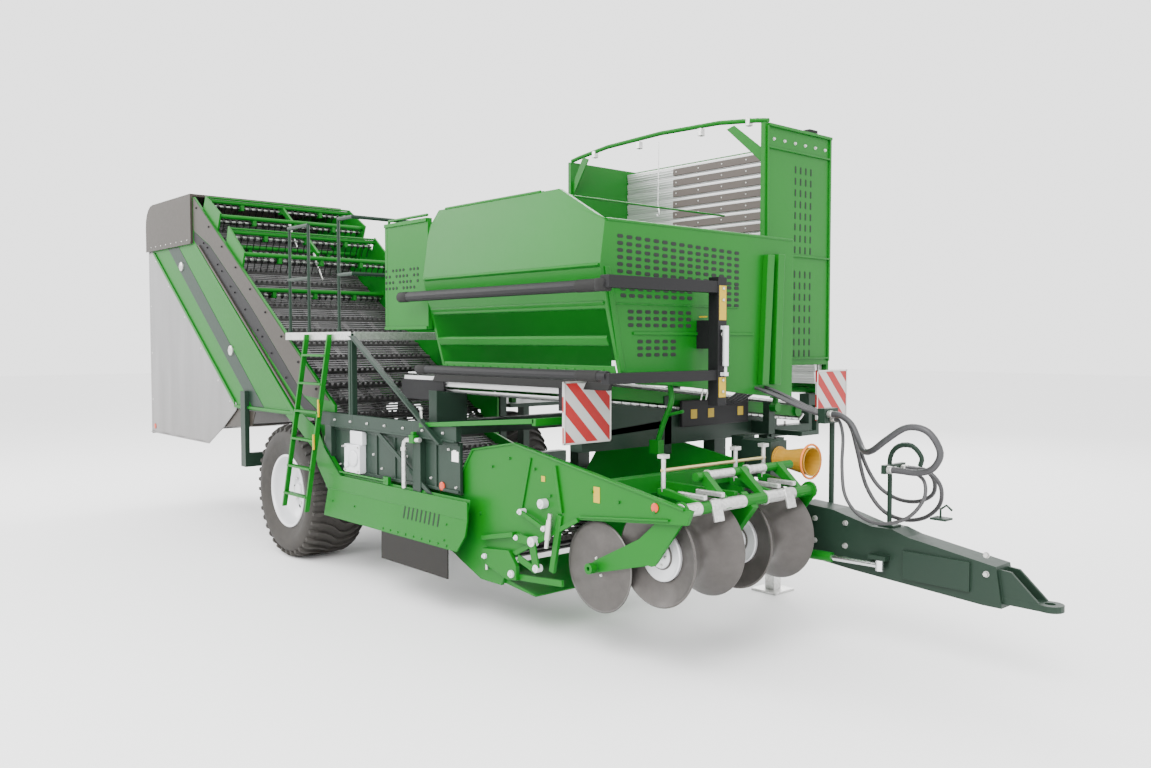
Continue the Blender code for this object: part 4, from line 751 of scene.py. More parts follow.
def belt_spots(low, high, half, pitch):
    """Places round a belt's loop in (x, z), each with its outward direction."""
    (x0, z0), (x1, z1) = low, high
    length = ((x1 - x0) ** 2 + (z1 - z0) ** 2) ** 0.5
    run = ((x1 - x0) / length, (z1 - z0) / length)
    out = (-run[1], run[0])
    if out[1] < 0:
        out = (-out[0], -out[1])
    bend = pi * half
    total = 2 * length + 2 * bend
    count = int(total / pitch)
    spots = []
    for index in range(count):
        s = index * total / count
        if s < length:
            spots.append((x0 + run[0] * s + out[0] * half, z0 + run[1] * s + out[1] * half, *out))
        elif s < length + bend:
            a = (s - length) / half
            way = (out[0] * cos(a) + run[0] * sin(a), out[1] * cos(a) + run[1] * sin(a))
            spots.append((x1 + way[0] * half, z1 + way[1] * half, *way))
        elif s < 2 * length + bend:
            t = s - length - bend
            spots.append((x1 - run[0] * t - out[0] * half, z1 - run[1] * t - out[1] * half, -out[0],
                          -out[1]))
        else:
            a = (s - 2 * length - bend) / half
            way = (-out[0] * cos(a) - run[0] * sin(a), -out[1] * cos(a) - run[1] * sin(a))
            spots.append((x0 + way[0] * half, z0 + way[1] * half, *way))
    return spots


def rod_shape(tree, given):
    """A round rod lying along its own Y."""
    rod = node(tree, "GeometryNodeMeshCylinder", {"Vertices": 8, "Radius": given["Radius"],
                                                  "Depth": given["Length"]})
    laid = node(tree, "GeometryNodeTransform",
                {"Geometry": rod.outputs["Mesh"], "Rotation": (pi / 2, 0, 0)})
    return laid.outputs[0]


def finger_shape(tree, given):
    """A tapered rubber finger standing on its rod."""
    cone = node(tree, "GeometryNodeMeshCone", {"Vertices": 6, "Radius Top": given["Tip Radius"],
                                               "Radius Bottom": given["Foot Radius"],
                                               "Depth": given["Height"]})
    return cone.outputs["Mesh"]


RODS = repeat_tree("web_rods", rod_shape, [("Radius", 0.007), ("Length", 1.8)])
FINGERS = repeat_tree("web_fingers", finger_shape, [("Tip Radius", 0.009), ("Foot Radius", 0.016),
                                                    ("Height", 0.045)])


WEB_PITCH, ROD_RADIUS, RODS_PER_FLIGHT = 0.045, 0.0075, 6
BELT_HALF_WIDTH, BELT_SPACING, FINGER_SPACING = 0.028, 0.36, 0.062


def make_web(name, body, low, high, half, y0, y1, tall):
    """Rods, belts, fingers and end rollers of one endless web."""
    middle, width = (y0 + y1) / 2, y1 - y0
    core = half - tall
    spots = belt_spots(low, high, core - 0.008, WEB_PITCH)
    repeat_on(RODS, f"{name}_rods", body, WEB_STEEL,
              [((x, middle, z), (nx, 0, nz), (nz, 0, -nx)) for x, z, nx, nz in spots],
              {"Length": width, "Radius": ROD_RADIUS})
    flights = belt_spots(low, high, core, WEB_PITCH * RODS_PER_FLIGHT)
    solids = []
    for x, z, nx, nz in flights:
        tx, tz = nz, -nx
        outline = [(x - tx * 0.028, z - tz * 0.028), (x + tx * 0.028, z + tz * 0.028),
                   (x + tx * 0.016 + nx * tall * 0.6, z + tz * 0.016 + nz * tall * 0.6),
                   (x - tx * 0.016 + nx * tall * 0.6, z - tz * 0.016 + nz * tall * 0.6)]
        solids.append(prism(outline, "XZ", y0 + 0.01, y1 - 0.01))
    count = max(4, round(width / BELT_SPACING))
    belt_line = belt_spots(low, high, core - 0.004, 0.05)
    inner_line = belt_spots(low, high, core - 0.016, 0.05)
    for index in range(count + 1):
        y = y0 + 0.03 + (width - 0.06) * index / count
        size = min(len(belt_line), len(inner_line))
        points, faces = [], []
        for step in range(size):
            (xa, za), (xb, zb) = belt_line[step][:2], inner_line[step][:2]
            right, left = y - BELT_HALF_WIDTH, y + BELT_HALF_WIDTH
            points += [(xa, right, za), (xa, left, za), (xb, left, zb), (xb, right, zb)]
        for step in range(size):
            a, b = 4 * step, 4 * ((step + 1) % size)
            for edge in range(4):
                turn = (edge + 1) % 4
                faces.append((a + edge, a + turn, b + turn, b + edge))
        solids.append((points, faces))
    web = piece(f"{name}_belts", body, WEB_RUBBER, solids)
    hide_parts(name)
    fingers = []
    number = int((width - 0.08) / FINGER_SPACING)
    for index, (x, z, nx, nz) in enumerate(flights):
        for place in range(number):
            y = y0 + 0.04 + FINGER_SPACING * (place + 0.5 * (index % 2))
            fingers.append(((x + nx * (tall * 0.5), y, z + nz * (tall * 0.5)), (nx, 0, nz),
                            (nz, 0, -nx)))
    repeat_on(FINGERS, f"{name}_fingers", body, WEB_RUBBER, fingers,
              {"Height": tall * 0.9, "Tip Radius": 0.010, "Foot Radius": 0.019})
    rollers = []
    for x, z in (low, high):
        rollers.append(pipe([(x, y0 - 0.008, z), (x, y1 + 0.008, z)], 0.030, 16))
        for index in range(count + 1):
            y = y0 + 0.03 + (width - 0.06) * index / count
            rollers.append(pipe([(x, y - 0.022, z), (x, y + 0.022, z)], core - 0.020, 20))
    piece(f"{name}_rollers", body, BLACK_STEEL, rollers)


make_web("elevator_web", "chassis", (-0.52, 1.24), (-4.45, 3.60), 0.079, -1.372, 0.442, 0.034)
make_web("digger_web", "digger", (1.78, 0.50), (-0.30, 1.30), 0.069, -1.322, 0.002, 0.024)

# ---- Rear elevator: banded side plate, hood, curtain and belly pan
# The green side plate carries a grey-brown wear plate along its upper edge, a black bolted
# strip under it and a dark painted band.  A light sheet curtain hangs from the bent hood.
SIDE_Y, OUTER_Y = -1.41, -1.46
PLATE_FACE = SIDE_Y - 0.0005
piece("elevator_wear_plate", "chassis", GREY_BROWN,
      [prism([(-3.80, 3.836), (-3.80, 3.45), (-3.33, 3.25), (-2.23, 2.53), (-1.54, 2.02),
              (-1.02, 1.63), (-0.49, 1.60)], "XZ", PLATE_FACE - 0.006, PLATE_FACE)], 0.002)
piece("elevator_bolt_strip", "chassis", BLACK_STEEL,
      [prism([(-3.80, 3.44), (-3.80, 3.33), (-1.02, 1.49), (-0.72, 1.49), (-1.02, 1.62),
              (-1.54, 2.01), (-2.23, 2.52), (-3.33, 3.24)], "XZ", PLATE_FACE - 0.003, PLATE_FACE)],
              0.001)
strip = prism([(-3.66, 3.262), (-1.13, 1.465), (-1.09, 1.465), (-3.62, 3.268)], "XZ",
              PLATE_FACE - 0.022, PLATE_FACE)
piece("elevator_brown_edge", "chassis", GREY_BROWN, [strip], 0.002)
ridge = prism([(-3.73, 3.262), (-1.22, 1.44), (-1.14, 1.44), (-3.66, 3.262)], "XZ",
              PLATE_FACE - 0.030, PLATE_FACE)
lower_lip = prism([(-5.20, 3.28), (-5.14, 3.28), (-2.66, 1.50), (-2.66, 1.455)], "XZ",
                  PLATE_FACE - 0.018, PLATE_FACE)
base_lip = prism([(-2.66, 1.43), (-1.16, 1.43), (-1.20, 1.46), (-2.66, 1.46)], "XZ",
                 PLATE_FACE - 0.022, PLATE_FACE)
piece("elevator_side_folds", "chassis", GREEN, [ridge, lower_lip, base_lip], 0.004)
piece("elevator_dark_band", "chassis", DARK_GREEN,
      [prism([(-4.66, 3.29), (-2.23, 1.462), (-1.93, 1.462), (-4.30, 3.29)], "XZ",
             PLATE_FACE - 0.002, PLATE_FACE)], 0.0)
bolt_line = [(-3.5, 3.28), (-3.39, 3.22), (-3.10, 3.01), (-2.98, 2.93), (-2.75, 2.75),
             (-2.63, 2.68), (-2.37, 2.49), (-2.06, 2.27), (-1.95, 2.20), (-1.73, 2.03),
             (-1.40, 1.79), (-1.12, 1.60)]
spots = [((x, PLATE_FACE - 0.003, z), RIGHT, FORWARD) for x, z in bolt_line]
spots += row((-3.70, PLATE_FACE - 0.006, 3.70), (-0.75, PLATE_FACE - 0.006, 1.70), 9, RIGHT)
repeat_on(BOLTS, "elevator_side_bolts", "chassis", BLACK_STEEL, spots)
piece("side_shaft_ends", "chassis", BRIGHT_STEEL,
      [boss(0.055, 0.018, 0.03, 0.03, (x, PLATE_FACE, z), RIGHT, 24)
       for x, z in ((-0.52, 1.24), (-4.2, 3.05), (-2.75, 2.05))], 0.0015)
left_face = 0.4805
left_spots = [((x, left_face, z), LEFT, FORWARD) for x, z in bolt_line]
repeat_on(BOLTS, "elevator_left_bolts", "chassis", BRIGHT_STEEL, left_spots)
piece("elevator_left_folds", "chassis", GREEN,
      [prism([(-5.00, 3.20), (-4.92, 3.25), (-2.66, 1.55), (-2.66, 1.49)], "XZ", left_face,
             left_face + 0.02),
       prism([(-3.80, 3.70), (-3.80, 3.66), (-0.80, 1.62), (-0.72, 1.62)], "XZ", left_face,
             left_face + 0.025)],
      0.003)
hood_lip = [pipe([(-3.845, -1.425, 3.31), (-3.845, -1.425, 3.868), (-3.845, 0.495, 3.868),
                  (-3.845, 0.495, 3.31)], 0.009, 8)]
hood_lip += [slab((-5.385, -1.443, 3.296), (-3.84, -1.4405, 3.325)),
             slab((-5.05, -1.40, 3.876), (-3.86, -1.36, 3.884))]
piece("hood_edges", "chassis", GREY_BROWN, hood_lip, 0.001)
repeat_on(RIVETS, "hood_rivets", "chassis", BRIGHT_STEEL,
          row((-5.2, -1.4412, 3.345), (-3.95, -1.4412, 3.345), 8, RIGHT), {"Radius": 0.008})
piece("belly_pan", "chassis", GREY_BROWN,
      [prism([(-3.30, 1.17), (-2.25, 1.25), (-2.16, 1.405), (-2.64, 1.415), (-2.76, 1.39)],
             "XZ", SIDE_Y + 0.003, SIDE_Y + 0.012),
       prism([(-3.30, 1.17), (-2.25, 1.25), (-2.25, 1.26), (-3.30, 1.18)], "XZ", SIDE_Y + 0.012,
             0.46)],
      0.002)


def curtain_colour(tree):
    """Light grey sheet with soft vertical streaks of painted fold shade and soil marks near its
    foot.
    """
    place = spot_on(tree)
    # light and dark vertical streaks: painted shade of soft folds
    stretch = node(tree, "ShaderNodeMapping", {"Vector": place,
                                               "Scale": (2.2, 2.2, 0.35)}).outputs[0]
    clean = two_tone(tree, noise(tree, stretch, 2.0, 3.0), (0.17, 0.168, 0.17, 1),
                     (0.27, 0.267, 0.27, 1))
    height = node(tree, "ShaderNodeSeparateXYZ", {"Vector": place}).outputs["Z"]
    low = node(tree, "ShaderNodeMapRange", {"Value": height, "From Min": 1.9,
                                            "From Max": 1.0}).outputs[0]
    stain = maths(tree, "MULTIPLY", low, noise(tree, place, 7.0, 6.0, 0.7))
    return two_tone(tree, maths(tree, "MULTIPLY", stain, 0.35), clean, (0.12, 0.10, 0.085, 1))


CURTAIN = finish("light_grey_sheet", curtain_colour, roughness=0.55, metallic=0.0,
                 edge=(0.7, 0.7, 0.7), wear=0.2, dust=0.1, grain=30.0, depth=0.35, edge_size=0.004)


CURTAIN_TOP, BACK_FOOT = 3.295, 0.955


def curtain_edges(x):
    """Heights of a side panel's top and foot at one place along it."""
    top = CURTAIN_TOP if x < -5.20 else CURTAIN_TOP - (x + 5.20) * 1.845 / 2.60
    if x < -3.41:
        return top, 0.975
    if x < -2.97:
        return top, 0.975 + (x + 3.41) * 0.5
    return top, 1.195 + (x + 2.97) * 0.60


PANEL_START, BACK_X, PANEL_ROWS, CURTAIN_THICKNESS = -2.62, -5.366, 48, 0.003
CURTAIN_RIGHT, CURTAIN_LEFT, CURTAIN_WIDTH = -1.4145, 0.4845, 1.899
SIDE_STEPS, BACK_STEPS = 70, 49
stations = []                     # plan place, outward way, top and foot height
for number in range(SIDE_STEPS + 1):
    x = PANEL_START + (BACK_X - PANEL_START) * number / SIDE_STEPS
    stations.append(((x, CURTAIN_RIGHT), (0, -1), *curtain_edges(x)))
for number in range(1, BACK_STEPS):
    y = CURTAIN_RIGHT + CURTAIN_WIDTH * number / BACK_STEPS
    stations.append(((BACK_X, y), (-1, 0), CURTAIN_TOP, BACK_FOOT))
for number in range(SIDE_STEPS + 1):
    x = BACK_X + (PANEL_START - BACK_X) * number / SIDE_STEPS
    stations.append(((x, CURTAIN_LEFT), (0, 1), *curtain_edges(x)))
cloth = bmesh.new()
columns = []
for number, ((x, y), (out_x, out_y), top, foot) in enumerate(stations):
    corner = min(abs(number - SIDE_STEPS), abs(number - SIDE_STEPS - BACK_STEPS)) / 6
    column = []
    for level in range(PANEL_ROWS + 1):
        drop = level / PANEL_ROWS
        fold = 0.5 + 0.5 * sin(number * 0.41 + 0.8 * sin(number * 0.13))
        swell = 0.012 * drop * min(1.0, corner) * fold
        column.append(cloth.verts.new((x + out_x * swell, y + out_y * swell,
                                       top + (foot - top) * drop)))
    columns.append(column)
for near, far in zip(columns, columns[1:]):
    for level in range(PANEL_ROWS):
        cloth.faces.new((near[level], near[level + 1], far[level + 1], far[level]))
bmesh.ops.recalc_face_normals(cloth, faces=cloth.faces)
curtain_area = sum(face.calc_area() for face in cloth.faces)
cloth_mesh = bpy.data.meshes.new("hung_curtain")
cloth.to_mesh(cloth_mesh)
cloth.free()
cloth_mesh.materials.append(CURTAIN)
cloth_mesh.shade_smooth()
curtain = bpy.data.objects.new("hung_curtain", cloth_mesh)
bpy.context.scene.collection.objects.link(curtain)
wall = curtain.modifiers.new("thickness", "SOLIDIFY")
wall.thickness = CURTAIN_THICKNESS
wall.offset = 0.0
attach(curtain, "chassis")
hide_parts("rear_curtain")
spots = [((x, -1.4165, z), RIGHT, FORWARD) for x, z in
         [(-5.10, 3.16), (-4.66, 2.83), (-4.13, 2.44), (-3.63, 2.07), (-3.13, 1.71), (-2.80, 1.49),
          (-5.30, 2.6), (-5.30, 2.0), (-5.30, 1.4), (-4.6, 1.03), (-3.9, 1.0)]]
repeat_on(RIVETS, "curtain_rivets", "chassis", BRIGHT_STEEL, spots, {"Radius": 0.011})
piece("curtain_hem", "chassis", CURTAIN,
      [pipe([(-5.36, -1.422, 0.978), (-3.41, -1.422, 0.978), (-2.97, -1.422, 1.198),
             (-2.63, -1.420, 1.402)], 0.007, 6),
       pipe([(-5.374, -1.41, 0.96), (-5.374, 0.48, 0.96)], 0.007, 6),
       pipe([(-5.36, 0.492, 0.978), (-3.41, 0.492, 0.978), (-2.97, 0.492, 1.198),
             (-2.63, 0.490, 1.402)], 0.007, 6)])
piece("rear_reflectors", "chassis", ORANGE_LENS,
      [boss(0.034, 0.006, 0.028, 0.010, (-5.20, -1.426, 1.06), RIGHT, 20)])

# ---- Haulm combs: curled spring tines hung on cross tubes over the elevator web
# Bright cross tubes with short black spring tines, each with two coils, clamped by green arms.
TINE_COUNT, TINE_PITCH, TINE_RADIUS, COIL_RADIUS = 23, 0.0765, 0.0055, 0.026
tines, clamps, tubes = [], [], []
for x, z in ((-3.50, 3.77), (-3.16, 3.56), (-3.30, 3.24), (-2.86, 3.36), (-2.50, 3.09),
             (-2.66, 2.72)):
    tubes.append(pipe([(x - 0.045, -1.36, z - 0.05), (x - 0.045, 0.43, z - 0.05)], 0.011, 10))
    for number in range(TINE_COUNT):
        y = -1.31 + TINE_PITCH * number
        route = []
        for turn in range(9):
            angle = turn * pi / 2
            route.append((x - 0.045 + COIL_RADIUS * sin(angle), y + 0.004 * turn,
                          z - 0.05 + COIL_RADIUS * cos(angle)))
        route += [(x - 0.085, y + 0.038, z - 0.06), (x - 0.12, y + 0.040, z - 0.11),
                  (x - 0.145, y + 0.040, z - 0.17)]
        tines.append(pipe(route, TINE_RADIUS, 5))
    for y in (-0.95, -0.45, 0.05):
        clamps.append(slab((x - 0.075, y - 0.02, z - 0.085), (x + 0.015, y + 0.02, z + 0.005)))
piece("haulm_tines", "chassis", BLACK_STEEL, tines, smooth=60)
piece("tine_tubes", "chassis", GALVANISED, tubes)
piece("tine_clamps", "chassis", GREEN, clamps, 0.004)
stays = []
for x, z in ((-3.50, 3.77), (-2.86, 3.36)):
    stays.append(prism([(x + 0.03, z), (x + 0.30, z - 0.20), (x + 0.28, z - 0.24), (x, z - 0.06)],
                       "XZ", -0.47, -0.44))
    stays.append(pipe([(x + 0.02, -1.37, z + 0.035), (x + 0.02, 0.44, z + 0.035)], 0.012, 8))
piece("comb_middle_stays", "chassis", GREEN, stays, 0.002)
comb_links = []
for x, z in ((-3.42, 3.50), (-2.78, 3.08)):
    for y in (-1.355, -0.38):
        comb_links.append(pipe([(x, y, z), (x + 0.16, y, z - 0.22)], 0.009, 8))
        comb_links.append(pipe([(x - 0.05, y, z + 0.10), (x, y, z)], 0.016, 10))
piece("comb_adjusters", "chassis", BRIGHT_STEEL, comb_links)

# ---- Platform, its railing fittings and the ladder
# Galvanised grating over the deck, a bright toe strip, welded rail feet, and a leaning ladder
# of flat cheeks and six treads.
DECK_TOP = 2.2203
GRATE_BARS, GRATE_PITCH, LADDER_TREADS = 24, 0.054, 6
grate = []
for number in range(GRATE_BARS):
    x = -1.27 + GRATE_PITCH * number
    grate.append(slab((x, -1.455, DECK_TOP), (x + 0.006, 0.56, 2.2275)))
for y in (-1.455, -1.0, -0.5, 0.0, 0.5):
    grate.append(slab((-1.29, y, DECK_TOP), (0.01, y + 0.008, 2.226)))
piece("deck_grating", "chassis", GALVANISED, grate)
piece("deck_toe_strip", "chassis", GALVANISED,
      [slab((-1.29, OUTER_Y - 0.004, 2.165), (0.01, OUTER_Y - 0.0003, 2.235)),
       slab((0.0205, -1.44, 2.165), (0.024, -0.45, 2.235))], 0.001)
feet = []
for x, y in ((-0.26, -1.43), (-0.01, -0.45), (-0.01, -0.95), (-1.25, -1.43), (-0.85, -1.43)):
    feet.append(lathe([(0, 0), (0.034, 0), (0.034, 0.008), (0.021, 0.012), (0.021, 0.05),
                       (0, 0.05)],
                      (x, y, DECK_TOP), UP, 16))
piece("rail_feet", "chassis", DARK_GREEN, feet, 0.001)
LADDER_TOP, LADDER_FOOT = (-1.4803, 2.215), (-1.63, 0.58)
cheeks = []
for top, foot in ((-0.80, -1.01), (-0.35, -0.55)):
    run = Vector((foot - top, LADDER_FOOT[0] - LADDER_TOP[0], LADDER_FOOT[1] - LADDER_TOP[1]))
    start = Vector((top, LADDER_TOP[0], LADDER_TOP[1]))
    points = []
    for share in (0.0, 1.0):
        centre = start + run * share
        for dx, dy in ((-0.012, -0.024), (0.012, -0.024), (0.012, 0.024), (-0.012, 0.024)):
            points.append((centre.x + dx, max(centre.y + dy, -1.6490), max(centre.z, 0.56)))
    faces = [(0, 1, 2, 3), (7, 6, 5, 4)] + [(i, (i + 1) % 4, 4 + (i + 1) % 4,
                                             4 + i) for i in range(4)]
    cheeks.append((points, faces))
for number in range(LADDER_TREADS):
    share = 0.12 + 0.16 * number
    y = LADDER_TOP[0] + (LADDER_FOOT[0] - LADDER_TOP[0]) * share
    z = LADDER_TOP[1] + (LADDER_FOOT[1] - LADDER_TOP[1]) * share
    x0, x1 = -0.80 - 0.21 * share, -0.35 - 0.20 * share
    cheeks.append(slab((x0, max(y - 0.03, -1.648), z - 0.008), (x1, y + 0.03, z + 0.012)))
ladder = piece("welded_ladder", "ladder", GREEN, cheeks, 0.002)
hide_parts("ladder")
piece("ladder_labels", "ladder", YELLOW_LABEL,
      [slab((-0.435, -1.555, 1.46), (-0.415, -1.5555 - 0.012, 1.62)),
       slab((-0.47, -1.588, 1.16), (-0.45, -1.602, 1.30))])

# ---- Right side of the frame: braces, drive box, pipe, bar, labels and wall fittings
# Flat braces carry the platform; a grey drive box and a bright oil pipe sit on the wall.
braces = [prism([(0.02, 2.20), (0.09, 2.20), (1.46, 1.36), (1.38, 1.34)], "XZ", OUTER_Y - 0.012,
                OUTER_Y - 0.0003),
          prism([(0.02, 2.20), (0.09, 2.20), (1.46, 1.36), (1.45, 1.35), (0.06, 2.19)], "XZ",
                OUTER_Y - 0.05, OUTER_Y - 0.012),
          prism([(0.36, 1.39), (0.44, 1.39), (1.28, 0.94), (1.20, 0.94)], "XZ", SIDE_Y - 0.045,
                SIDE_Y - 0.030),
          slab((-0.44, OUTER_Y - 0.004, 1.375), (1.60, OUTER_Y + 0.0005, 1.39)),
          slab((-0.03, OUTER_Y - 0.006, 1.50), (-0.005, OUTER_Y - 0.0003, 2.165))]
piece("side_braces", "chassis", DARK_GREEN, braces, 0.002)
wall = SIDE_Y - 0.0005
seams = [slab((x, wall - 0.010, 0.975), (x + 0.03, wall, 1.365)) for x in (0.34, 0.64, 1.26)]
seams += [slab((-0.39, wall - 0.012, 0.975), (1.59, wall, 1.0)),
          slab((-0.39, wall - 0.012, 1.345), (1.59, wall, 1.37))]
piece("wall_stiffeners", "chassis", DARK_GREEN, seams, 0.003)
drive = [slab((-0.10, wall - 0.07, 0.99), (0.17, wall, 1.24)),
         slab((-0.03, wall - 0.05, 1.24), (0.18, wall, 1.36))]
drive += [boss(0.075, 0.012, 0.05, 0.022, (0.07, wall - 0.07, 1.12), RIGHT, 28),
          plug(0.03, 0.02, (-0.04, wall - 0.07, 1.06), RIGHT, 16)]
piece("drive_box", "chassis", SILVER, drive, 0.010)
spots = [((x, wall - 0.07, z), RIGHT, FORWARD) for x in (-0.08, 0.15) for z in (1.01, 1.22)]
spots += [((x, wall, z), RIGHT, FORWARD) for x,
          z in ((0.30, 1.17), (0.44, 1.06), (0.52, 1.30), (0.84, 1.20), (1.2, 1.06),
                                                     (1.45, 1.31), (1.55, 1.02), (-0.25, 1.2),
                                                     (-0.3, 1.03))]
spots += row((-0.30, OUTER_Y - 0.004, 1.44), (1.45, OUTER_Y - 0.004, 1.44), 7, RIGHT)
repeat_on(BOLTS, "side_wall_bolts", "chassis", BRIGHT_STEEL, spots,
          {"Washer Radius": 0.011, "Head Radius": 0.009})
pipe_y = OUTER_Y - 0.030
piece("oil_pipe", "chassis", GALVANISED,
      [pipe([(0.92, pipe_y, 0.955), (0.92, pipe_y, 1.30), (0.93, pipe_y, 1.335),
             (0.96, pipe_y, 1.352), (1.16, pipe_y, 1.365)], 0.019, 14),
       plug(0.026, 0.03, (0.92, pipe_y, 1.26), UP, 16)])
piece("pipe_clamp", "chassis", GREEN, [slab((1.03, OUTER_Y - 0.055, 1.335),
                                            (1.10, OUTER_Y - 0.0003, 1.40)),
                                       slab((1.045, OUTER_Y - 0.045, 1.40),
                                            (1.085, OUTER_Y - 0.01, 1.425))],
      0.004)
piece("board_bar", "chassis", GREEN,
      [prism([(1.13, 1.50), (1.13, 1.465), (2.58, 1.585), (2.58, 1.62)], "XZ", OUTER_Y - 0.02,
             OUTER_Y + 0.02),
       slab((2.56, OUTER_Y - 0.02, 1.57), (2.60, -1.17, 1.62))], 0.003)
piece("side_labels", "chassis", WHITE_LABEL, [slab((1.49, wall - 0.0015, 1.22), (1.58, wall, 1.30)),
                                              slab((1.51, wall - 0.003, 1.29),
                                                   (1.55, wall - 0.001, 1.31))])
piece("side_reflector", "chassis", ORANGE_LENS,
      [boss(0.036, 0.008, 0.028, 0.013, (1.36, wall - 0.001, 1.01), RIGHT, 24)])
levers = []
for x in (1.16, 1.15):
    levers.append(pipe([(x, OUTER_Y - 0.012, 1.50), (x + 0.01, OUTER_Y - 0.02, 1.60)], 0.008, 8))
levers.append(ball((1.165, OUTER_Y - 0.022, 1.615), 0.018))
piece("side_lever", "chassis", BRIGHT_STEEL, levers)

# ---- Lower guard with its slots, folds and bolts, and its rear arm
# Folded green sheet along the right side, with a row of upright air slots.  Slots on this and
# the other sheets are thin shapes on the surface in painted shade, the dark inside a hole.
TILT = Vector((0, -0.983, 0.184))


GUARD_TOP_Y, GUARD_TOP_Z, GUARD_LEAN = -1.4753, 0.80, 0.1875


def guard_face(x, z):
    """A place on the guard's leaning outer face."""
    return (x, GUARD_TOP_Y - (GUARD_TOP_Z - z) * GUARD_LEAN, z)


def slot_shape(tree, given):
    """A slot's rounded outline, filled and raised a little; it is not cut through the sheet, and
    its painted shade stands for the hole.
    """
    outline = node(tree, "GeometryNodeCurvePrimitiveQuadrilateral", {"Width": given["Length"],
                                                                     "Height": given["Width"]})
    half = maths(tree, "MULTIPLY", given["Width"], 0.49)
    rounded = node(tree, "GeometryNodeFilletCurve", {"Curve": outline.outputs[0], "Count": 3,
                                                     "Radius": half}, mode="POLY")
    filled = node(tree, "GeometryNodeFillCurve", {"Curve": rounded.outputs[0]}, mode="NGONS")
    raised = node(tree, "GeometryNodeExtrudeMesh",
                  {"Mesh": filled.outputs[0], "Offset Scale": given["Depth"]})
    bottom = node(tree, "GeometryNodeFlipFaces", {"Mesh": filled.outputs[0]})
    both = node(tree, "GeometryNodeJoinGeometry")
    tree.links.new(raised.outputs["Mesh"], both.inputs[0])
    tree.links.new(bottom.outputs[0], both.inputs[0])
    merged = node(tree, "GeometryNodeMergeByDistance",
                  {"Geometry": both.outputs[0], "Distance": 0.00002})
    return merged.outputs[0]


SLOTS = repeat_tree("rounded_slots", slot_shape,
                    [("Length", 0.05), ("Width", 0.02), ("Depth", 0.0012)])
along = tuple(TILT.cross(Vector((1, 0, 0))).normalized())
spots = [(guard_face(0.91 + 0.062 * i, 0.755), tuple(TILT), along) for i in range(9)]
repeat_on(SLOTS, "guard_slots", "chassis", HOLE_SHADE, spots, {"Length": 0.105, "Width": 0.020})
spots = [(guard_face(0.62 + 0.118 * i, 0.585), tuple(TILT), FORWARD) for i in range(9)]
spots += [(guard_face(x, z), tuple(TILT), FORWARD) for x,
          z in ((1.52, 0.74), (1.52, 0.62), (-0.3, 0.7), (0.1, 0.7))]
repeat_on(BOLTS, "guard_bolts", "chassis", GREEN, spots,
          {"Washer Radius": 0.010, "Head Radius": 0.008, "Head Depth": 0.005})
piece("guard_fold", "chassis", GREEN,
      [prism([(-1.4755, 0.80), (-1.4755, 0.812), (-1.445, 0.955), (-1.440, 0.955), (-1.440, 0.945),
              (-1.468, 0.81)], "YZ", -0.419, 1.779),
       pipe([(-0.20, -1.47, 0.975), (0.60, -1.47, 0.975)], 0.009, 8),
       slab((0.56, -1.475, 0.945), (0.64, -1.445, 1.01))], 0.001)
piece("guard_rear_arm", "chassis", GREEN,
      [prism([(-1.30, 1.425), (-0.92, 1.455), (-0.62, 1.33), (-0.50, 1.19), (-0.18, 0.945),
              (-0.25, 0.86), (-0.36, 0.72), (-0.62, 0.98), (-0.70, 1.13), (-1.06, 1.33)], "XZ",
              -1.474, -1.466),
       prism([(-0.50, 1.19), (-0.18, 0.945), (-0.19, 0.935), (-0.51, 1.18)], "XZ", -1.474, -1.43)],
      0.002)

# ---- Bunker: folded side panel, perforated front, rivets and bracing ribs
# Bright green sheet on a folded frame.  Rows of rounded slots in painted shade mark the front
# wall's holes.
BUNKER_FACE = 3.1403


def panel_y(z):
    """Where the leaning side panel's outer face lies at one height."""
    return -1.38 + (2.65 - z) * (0.2 / 0.75)


piece("bunker_side_folds", "chassis", GREEN,
      [prism([(panel_y(2.665), 2.662), (panel_y(2.64) - 0.016, 2.655),
              (panel_y(2.64) - 0.016, 2.645), (panel_y(2.62), 2.63)], "YZ", 1.08, 3.13),
       prism([(panel_y(2.42), 2.42), (panel_y(2.40) - 0.012, 2.405), (panel_y(2.38), 2.385)], "YZ",
             1.08, 3.11),
       prism([(panel_y(2.19), 2.19), (panel_y(2.17) - 0.016, 2.172), (panel_y(2.16) - 0.012, 2.160),
              (panel_y(2.12), 2.12)],
             "YZ", 1.09, 3.08),
       prism([(panel_y(1.99), 1.99), (panel_y(1.96) - 0.006, 1.965), (panel_y(1.93) - 0.006, 1.935),
              (panel_y(1.93), 1.93)],
             "YZ", 1.09, 3.10)], 0.001)
slope = Vector((0, -0.966, -0.258))
spots = [((1.12 + 0.098 * i, panel_y(1.955) - 0.008, 1.955), tuple(slope),
          FORWARD) for i in range(20)]
repeat_on(RIVETS, "bunker_rivets", "chassis", GREEN, spots, {"Radius": 0.010})
HOLES_RIGHT, HOLE_PITCH = -1.20, 0.086
pattern = []
for number in range(15):
    y = HOLES_RIGHT + HOLE_PITCH * number
    for level in range(6):
        pattern.append((y, 2.615 + 0.046 * level - 0.003 * number))
for number in (13, 14):
    for level in range(4):
        pattern.append((HOLES_RIGHT + HOLE_PITCH * number, 2.415 + 0.043 * level))
for count, y0, zs in ((9, -1.17, (2.455, 2.50)), (8, -1.10, (2.26, 2.305, 2.35)),
                      (5, -1.01, (2.06, 2.105, 2.15))):
    for number in range(count):
        for z in zs:
            pattern.append((y0 + 0.082 * number, z))
spots = [((BUNKER_FACE, y, z), FORWARD, LEFT) for y, z in pattern]
repeat_on(SLOTS, "bunker_slots", "chassis", HOLE_SHADE, spots, {"Length": 0.056, "Width": 0.026})
ribs = []
